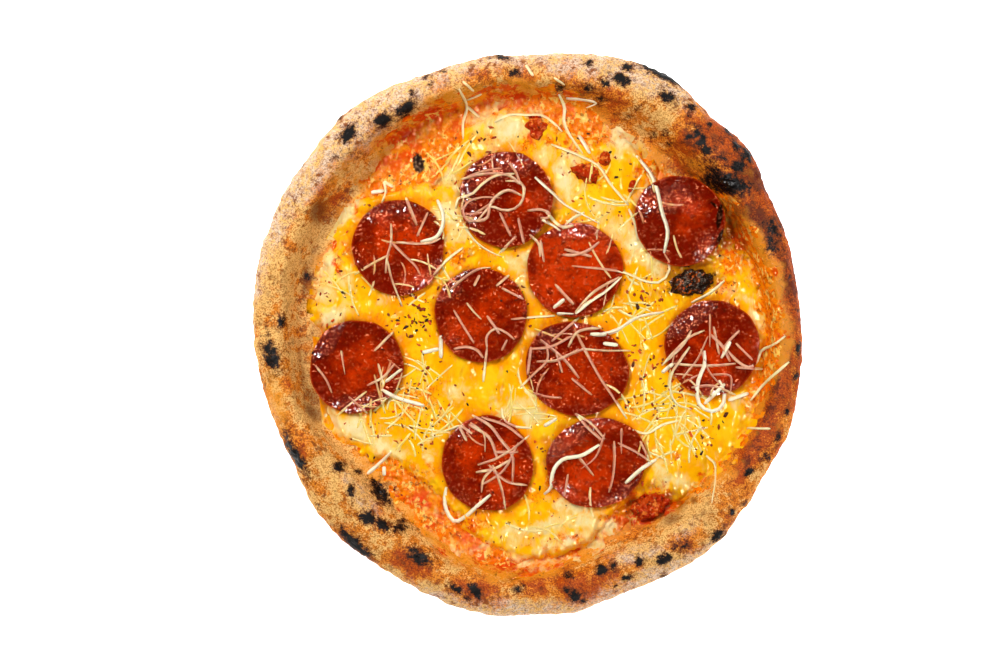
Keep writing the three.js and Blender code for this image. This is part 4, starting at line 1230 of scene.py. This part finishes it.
class PIZZA_OT_pepperoni(bpy.types.Operator):
    """Lay the ten cupped slices of pepperoni"""

    bl_idname = "pizza.pepperoni"
    bl_label = "Pepperoni"

    def execute(self, context):
        pepperoni = context.scene.pizza_pepperoni
        material = pepperoni_finish(pepperoni)
        for number, (row, glow) in enumerate(zip(SLICES, SLICE_GLOW), 1):
            name = f"pepperoni_slice_{number:02d}"
            reach = partial(slice_reach, row)
            disc = Blanket(name, pepperoni.cells, reach, middle=row[:2], rings=SLICE_RINGS)
            share, flat, mesh = disc.share, disc.flat, disc.mesh
            folds = 0.45 * rough(flat, 8, octaves=2, seed=41) + 0.3 * rough(flat, 4, octaves=1, seed=44)
            folds = smooth((share - 0.3) / 0.6) * folds
            grain = 0.09 * rough(flat, 2.8, octaves=2, seed=42)
            rounded = 0.35 * smooth((share - 0.965) / 0.035)
            height = slice_floor(row, disc.angle, share)
            height += np.where(disc.top, SLICE_THICKNESS + folds + grain - rounded, folds + rounded)
            disc.rise(height)
            set_field(mesh, "edge", smooth((share - 0.93) / 0.07))
            set_field(mesh, "ruffle", 0.45 * share + marks(disc.x, disc.y, RUFFLES))
            # The marks darken parts of each slice: darker meat, and painted shade on its shadowed sides.
            set_field(mesh, "glow", glow - 0.5 * share**2 - 0.8 * marks(disc.x, disc.y, DARK_MEAT_AND_SHADE))
            # Where painted shadow lies under turned-up edges.
            set_field(mesh, "gap", marks(disc.x, disc.y, SHADOW_GAPS))
            piece(mesh, material, "pepperoni", f"pepperoni_{number:02d}")
        return {"FINISHED"}


def lump_mesh(row, name, knobs, seed):
    """A knobbly lump that stands in the cheese."""
    x, y, long, wide, high, turn = row
    bm = bmesh.new()
    bmesh.ops.create_icosphere(bm, subdivisions=5, radius=1)
    mesh = shell_mesh(bm, name)
    points = vectors(mesh)
    scaled = points * (long, wide, high)
    swell = 1 + knobs * rough(scaled, 7, octaves=2, seed=seed)
    swell += 0.3 * knobs * rough(scaled, 2.4, octaves=2, seed=seed + 1)
    grown = points * swell[:, None]
    cos, sin = math.cos(math.radians(turn)), math.sin(math.radians(turn))
    along, across = grown[:, 0] * long, grown[:, 1] * wide
    height = np.maximum(grown[:, 2] * high, -0.6)
    place = (x + along * cos - across * sin, y + along * sin + across * cos, CHEESE_FLOOR + height)
    set_points(mesh, np.column_stack(place))
    return mesh


class PIZZA_OT_lumps(bpy.types.Operator):
    """Place the lumps of crushed tomato and the scorched dough blister"""

    bl_idname = "pizza.lumps"
    bl_label = "Tomato lumps and blister"

    def execute(self, context):
        toppings = context.scene.pizza_toppings
        tomato = tomato_finish(toppings)
        for number, row in enumerate(TOMATOES, 1):
            mesh = lump_mesh(row, f"tomato_lump_{number:02d}", knobs=0.26, seed=50 + number)
            piece(mesh, tomato, "tomato", f"tomato_{number:02d}")
        blister = lump_mesh(BLISTER, "scorched_dough_blister", knobs=0.2, seed=60)
        piece(blister, blister_finish(toppings), "scorched", "scorched_blister")
        return {"FINISHED"}


class Surface:
    """Everything that shreds and specks can fall on."""

    def __init__(self):
        self.trees = []
        for obj in bpy.context.scene.objects:
            if obj.type == "MESH" and obj.name.startswith(LANDING):
                bm = bmesh.new()
                bm.from_mesh(obj.data)
                places = vectors(obj.data) / MM
                box = (*places.min(axis=0)[:2], *places.max(axis=0)[:2])
                self.trees.append((box, obj.name.startswith("pepperoni"), BVHTree.FromBMesh(bm)))
                bm.free()

    def under(self, x, y):
        """The height at a place, and whether pepperoni lies there."""
        best, meat = 0, False
        for (west, south, east, north), is_meat, tree in self.trees:
            if west <= x <= east and south <= y <= north:
                hit = tree.ray_cast(Vector((x * MM, y * MM, RAY_START)), Vector((0, 0, -1)))[0]
                if hit and hit.z / MM > best:
                    best, meat = hit.z / MM, is_meat
        return best, meat


def shred_bar():
    """A straight bar along X from 0 to 1, four-sided, 1 by 1 across."""
    bm = bmesh.new()
    bmesh.ops.create_cube(bm, size=1, matrix=Matrix.Translation((0.5, 0, 0)))
    long_edges = [e for e in bm.edges if abs(e.verts[0].co.x - e.verts[1].co.x) > 0.5]
    bmesh.ops.subdivide_edges(bm, edges=long_edges, cuts=SHRED_STEPS - 1, use_grid_fill=True)
    bmesh.ops.recalc_face_normals(bm, faces=bm.faces)
    return bare_mesh(bm, "shred_bar")


def curve_through(points, share):
    """Places along a smooth curve through the points, for shares from 0 to 1 of its length."""
    points = np.asarray(points, float)
    lengths = np.hypot(*np.diff(points, axis=0).T)
    knots = np.concatenate(((0,), np.cumsum(lengths))) / lengths.sum()
    slopes = np.gradient(points, knots, axis=0)
    part = np.clip(np.searchsorted(knots, share, side="right") - 1, 0, len(lengths) - 1)
    span = (knots[part + 1] - knots[part])[:, None]
    t = (share[:, None] - knots[part][:, None]) / span
    return (
        (2 * t**3 - 3 * t**2 + 1) * points[part] + (t**3 - 2 * t**2 + t) * span * slopes[part]
        + (3 * t**2 - 2 * t**3) * points[part + 1] + (t**3 - t**2) * span * slopes[part + 1]
    )


def laid_shred(surface, route, width, thickness, sunk, twist, random, bar):
    """Bends the bar along a route over what lies below. Returns its points and where it is over meat."""
    share = np.linspace(0, 1, SHRED_STEPS + 1)
    path = curve_through(route, share)
    found = [surface.under(x, y) for x, y in path.tolist()]
    ground = np.array([height for height, _ in found])
    meat = np.array([float(is_meat) for _, is_meat in found])
    lay = ground
    for _ in range(3):
        padded = np.concatenate((lay[:1], lay, lay[-1:]))
        lay = np.maximum(ground, (padded[:-2] + padded[1:-1] + padded[2:]) / 3)
    lay = lay + thickness * (0.5 - sunk)
    path_3d = np.column_stack((path, lay))
    along = np.gradient(path_3d, axis=0)
    along /= np.linalg.norm(along, axis=1)[:, None]
    side = np.cross((0, 0, 1), along)
    side /= np.linalg.norm(side, axis=1)[:, None]
    roll = twist * (random.uniform(-0.8, 0.8) + np.linspace(0, random.uniform(-1, 1), SHRED_STEPS + 1))
    up = np.cross(along, side)
    tip = 0.55 + 0.45 * smooth(np.minimum(share, 1 - share) * 8)
    wide = (side * np.cos(roll)[:, None] + up * np.sin(roll)[:, None]) * (width * tip)[:, None]
    high = (up * np.cos(roll)[:, None] - side * np.sin(roll)[:, None]) * (thickness * tip)[:, None]
    step = np.rint(bar[:, 0] * SHRED_STEPS).astype(int)
    return path_3d[step] + wide[step] * bar[:, 1:2] + high[step] * bar[:, 2:3], meat[step]


def shred_piece(name, routes, material, sunk, twist, seed):
    """One piece of many shreds. Each route is its points, its width and thickness, and how dry it is."""
    random = np.random.default_rng(seed)
    surface = Surface()
    bar_mesh = shred_bar()
    bar = vectors(bar_mesh)
    bm = bmesh.new()
    places, soaked, dryness = [], [], []
    for points, width, thickness, dry in routes:
        bm.from_mesh(bar_mesh)
        laid, meat = laid_shred(surface, points, width, thickness, sunk, twist, random, bar)
        places.append(laid)
        soaked.append(meat * (1 - 0.6 * dry) * random.uniform(0.6, 1.2))
        dryness.append(np.full(len(bar), dry))
    mesh = bare_mesh(bm, name)
    set_points(mesh, np.vstack(places))
    set_field(mesh, "soaked", np.concatenate(soaked))
    set_field(mesh, "dry", np.concatenate(dryness))
    bpy.data.meshes.remove(bar_mesh)
    piece(mesh, material, "cheese")


def scattered(random, zones):
    """Random places in round zones, each with whatever else the zone's row holds."""
    for x, y, radius, count, *rest in zones:
        for _ in range(count):
            out, at = radius * math.sqrt(random.uniform()), random.uniform(0, math.tau)
            yield (x + out * math.cos(at), y + out * math.sin(at), *rest)


def curl(random, x, y, long, bend):
    """A short route about x, y with a random turn and a gentle bend."""
    heading = random.uniform(0, math.tau)
    turn = random.normal(0, bend)
    points = []
    for step in np.linspace(-0.5, 0.5, 5):
        angle = heading + turn * step
        points.append((x + long * step * math.cos(angle), y + long * step * math.sin(angle)))
    return points


class PIZZA_OT_shreds(bpy.types.Operator):
    """Scatter the grated hard cheese over everything"""

    bl_idname = "pizza.shreds"
    bl_label = "Grated cheese"

    def execute(self, context):
        shreds = context.scene.pizza_shreds
        width, thickness = shreds.width / MM, shreds.thickness / MM
        random = np.random.default_rng(shreds.seed)
        loose = shred_finish(shreds, "grated cheese", 0.35, shreds.pale, shreds.dry)
        melted = shred_finish(shreds, "melting shreds", 0.2, shreds.melted, shreds.pale)
        routes = [(row, width * random.uniform(0.7, 1.05), thickness, 0.12) for row in FINE_SHREDS]
        routes += [(row, 1.25 * width, 1.2 * thickness, 1) for row in THICK_SHREDS]
        shred_piece("grated_cheese_shreds", routes, loose, sunk=0.1, twist=1, seed=shreds.seed)
        routes = []
        for x, y in scattered(random, MELTED_ZONES):
            if math.hypot(x, y) > MELTED_REACH or math.dist((x, y), BLISTER[:2]) < BLISTER_CLEARANCE:
                continue
            points = curl(random, x, y, long=random.uniform(9, 24), bend=0.3)
            dry = random.choice((0, 0, 0.2, 0.45))
            routes.append((points, width * random.uniform(0.45, 0.85), 0.7 * thickness, dry))
        shred_piece("melted_shreds", routes, melted, sunk=0.85, twist=0.1, seed=shreds.seed + 1)
        return {"FINISHED"}


class PIZZA_OT_specks(bpy.types.Operator):
    """Sprinkle the dark specks of herb and pepper"""

    bl_idname = "pizza.specks"
    bl_label = "Specks"

    def execute(self, context):
        random = np.random.default_rng(context.scene.pizza_shreds.seed + 2)
        surface = Surface()
        bm = bmesh.new()
        tones = []
        for x, y, largest in scattered(random, SPECK_ZONES):
            height, meat = surface.under(x, y)
            if math.hypot(x, y) > SPECK_REACH or (meat and random.uniform() < 0.6):
                continue
            half = 0.5 * random.uniform(0.45, 1) ** 3 * largest
            size = Matrix.Diagonal((half * random.uniform(1, 2.4), half, 0.5 * half, 1))
            spin = Matrix.Rotation(random.uniform(0, math.tau), 4, "Z")
            matrix = Matrix.Translation((x, y, height)) @ spin @ size
            made = bmesh.ops.create_icosphere(bm, subdivisions=1, radius=1, matrix=matrix)["verts"]
            for vert in made:
                vert.co += (vert.co - matrix.translation) * random.uniform(-0.5, 0.5)
            tones.append(np.full(len(made), random.uniform()))
        mesh = bare_mesh(bm, "herb_and_pepper_specks")
        set_field(mesh, "tone", np.concatenate(tones))
        piece(mesh, speck_finish(), "scorched")
        return {"FINISHED"}


class PIZZA_OT_stage(bpy.types.Operator):
    """Set the pale floor, the soft lights and the camera straight above"""

    bl_idname = "pizza.stage"
    bl_label = "Stage"

    def execute(self, context):
        scene = context.scene
        stage = scene.pizza_stage
        look = Finish(
            "pale floor", Roughness=0.9, Emission_Color=(1, 1, 1, 1), Emission_Strength=stage.glow
        )
        bm = bmesh.new()
        bmesh.ops.create_grid(bm, x_segments=1, y_segments=1, size=FLOOR_REACH)
        mesh = bare_mesh(bm, "floor")
        mesh.materials.append(look.done(Base_Color=(*stage.floor, 1)))
        placed("floor", mesh)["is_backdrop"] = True
        for name, place, size, setting, share, lighting, glossy in LIGHTS:
            data = bpy.data.lights.new(name, "AREA")
            data.energy = share * getattr(stage, setting)
            data.size = size
            light = placed(name, data)
            light.location = place
            light.rotation_euler = (-Vector(place)).to_track_quat("-Z", "Y").to_euler()
            light.visible_diffuse = lighting
            light.visible_glossy = glossy
        world = bpy.data.worlds.new("soft daylight")
        world.use_nodes = True
        background = world.node_tree.nodes["Background"].inputs
        background["Color"].default_value = (1, 1, 1, 1)
        background["Strength"].default_value = DAYLIGHT
        scene.world = world
        scene.view_settings.view_transform = "Standard"
        data = bpy.data.cameras.new("camera")
        data.lens = data.sensor_width * stage.distance / PHOTO_WIDTH
        scene.camera = placed("camera", data)
        scene.camera.location = (*PHOTO_MIDDLE, stage.distance + OUTLINE_HEIGHT)
        return {"FINISHED"}


class PIZZA_PT_panel(bpy.types.Panel):
    """Lists the pieces of the pizza"""

    bl_label = "Pizza"
    bl_idname = "PIZZA_PT_panel"
    bl_space_type = "VIEW_3D"
    bl_region_type = "UI"
    bl_category = "Pizza"

    def draw(self, context):
        for operator in OPERATORS:
            self.layout.operator(operator.bl_idname)
        for group in GROUPS:
            settings = getattr(context.scene, group)
            box = self.layout.box()
            for name in settings.__annotations__:
                box.prop(settings, name)


GROUPS = {
    "pizza_dough": PizzaDough,
    "pizza_toppings": PizzaToppings,
    "pizza_pepperoni": PizzaPepperoni,
    "pizza_shreds": PizzaShreds,
    "pizza_stage": PizzaStage,
}
OPERATORS = (
    PIZZA_OT_crust,
    PIZZA_OT_sauce,
    PIZZA_OT_cheese,
    PIZZA_OT_pepperoni,
    PIZZA_OT_lumps,
    PIZZA_OT_shreds,
    PIZZA_OT_specks,
    PIZZA_OT_stage,
)


def register():
    for cls in (*GROUPS.values(), *OPERATORS, PIZZA_PT_panel):
        bpy.utils.register_class(cls)
    for name, group in GROUPS.items():
        setattr(bpy.types.Scene, name, PointerProperty(type=group))


def unregister():
    for name in GROUPS:
        delattr(bpy.types.Scene, name)
    for cls in reversed((*GROUPS.values(), *OPERATORS, PIZZA_PT_panel)):
        bpy.utils.unregister_class(cls)


def main():
    register()
    bpy.ops.pizza.crust()
    bpy.ops.pizza.sauce()
    bpy.ops.pizza.cheese()
    bpy.ops.pizza.pepperoni()
    bpy.ops.pizza.lumps()
    bpy.ops.pizza.shreds()
    bpy.ops.pizza.specks()
    bpy.ops.pizza.stage()
    boxes = {"cad": solid_box, "visual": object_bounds()}
    {name: [list(corner) for corner in box] for name, box in boxes.items()}


if __name__ == "__main__":
    main()
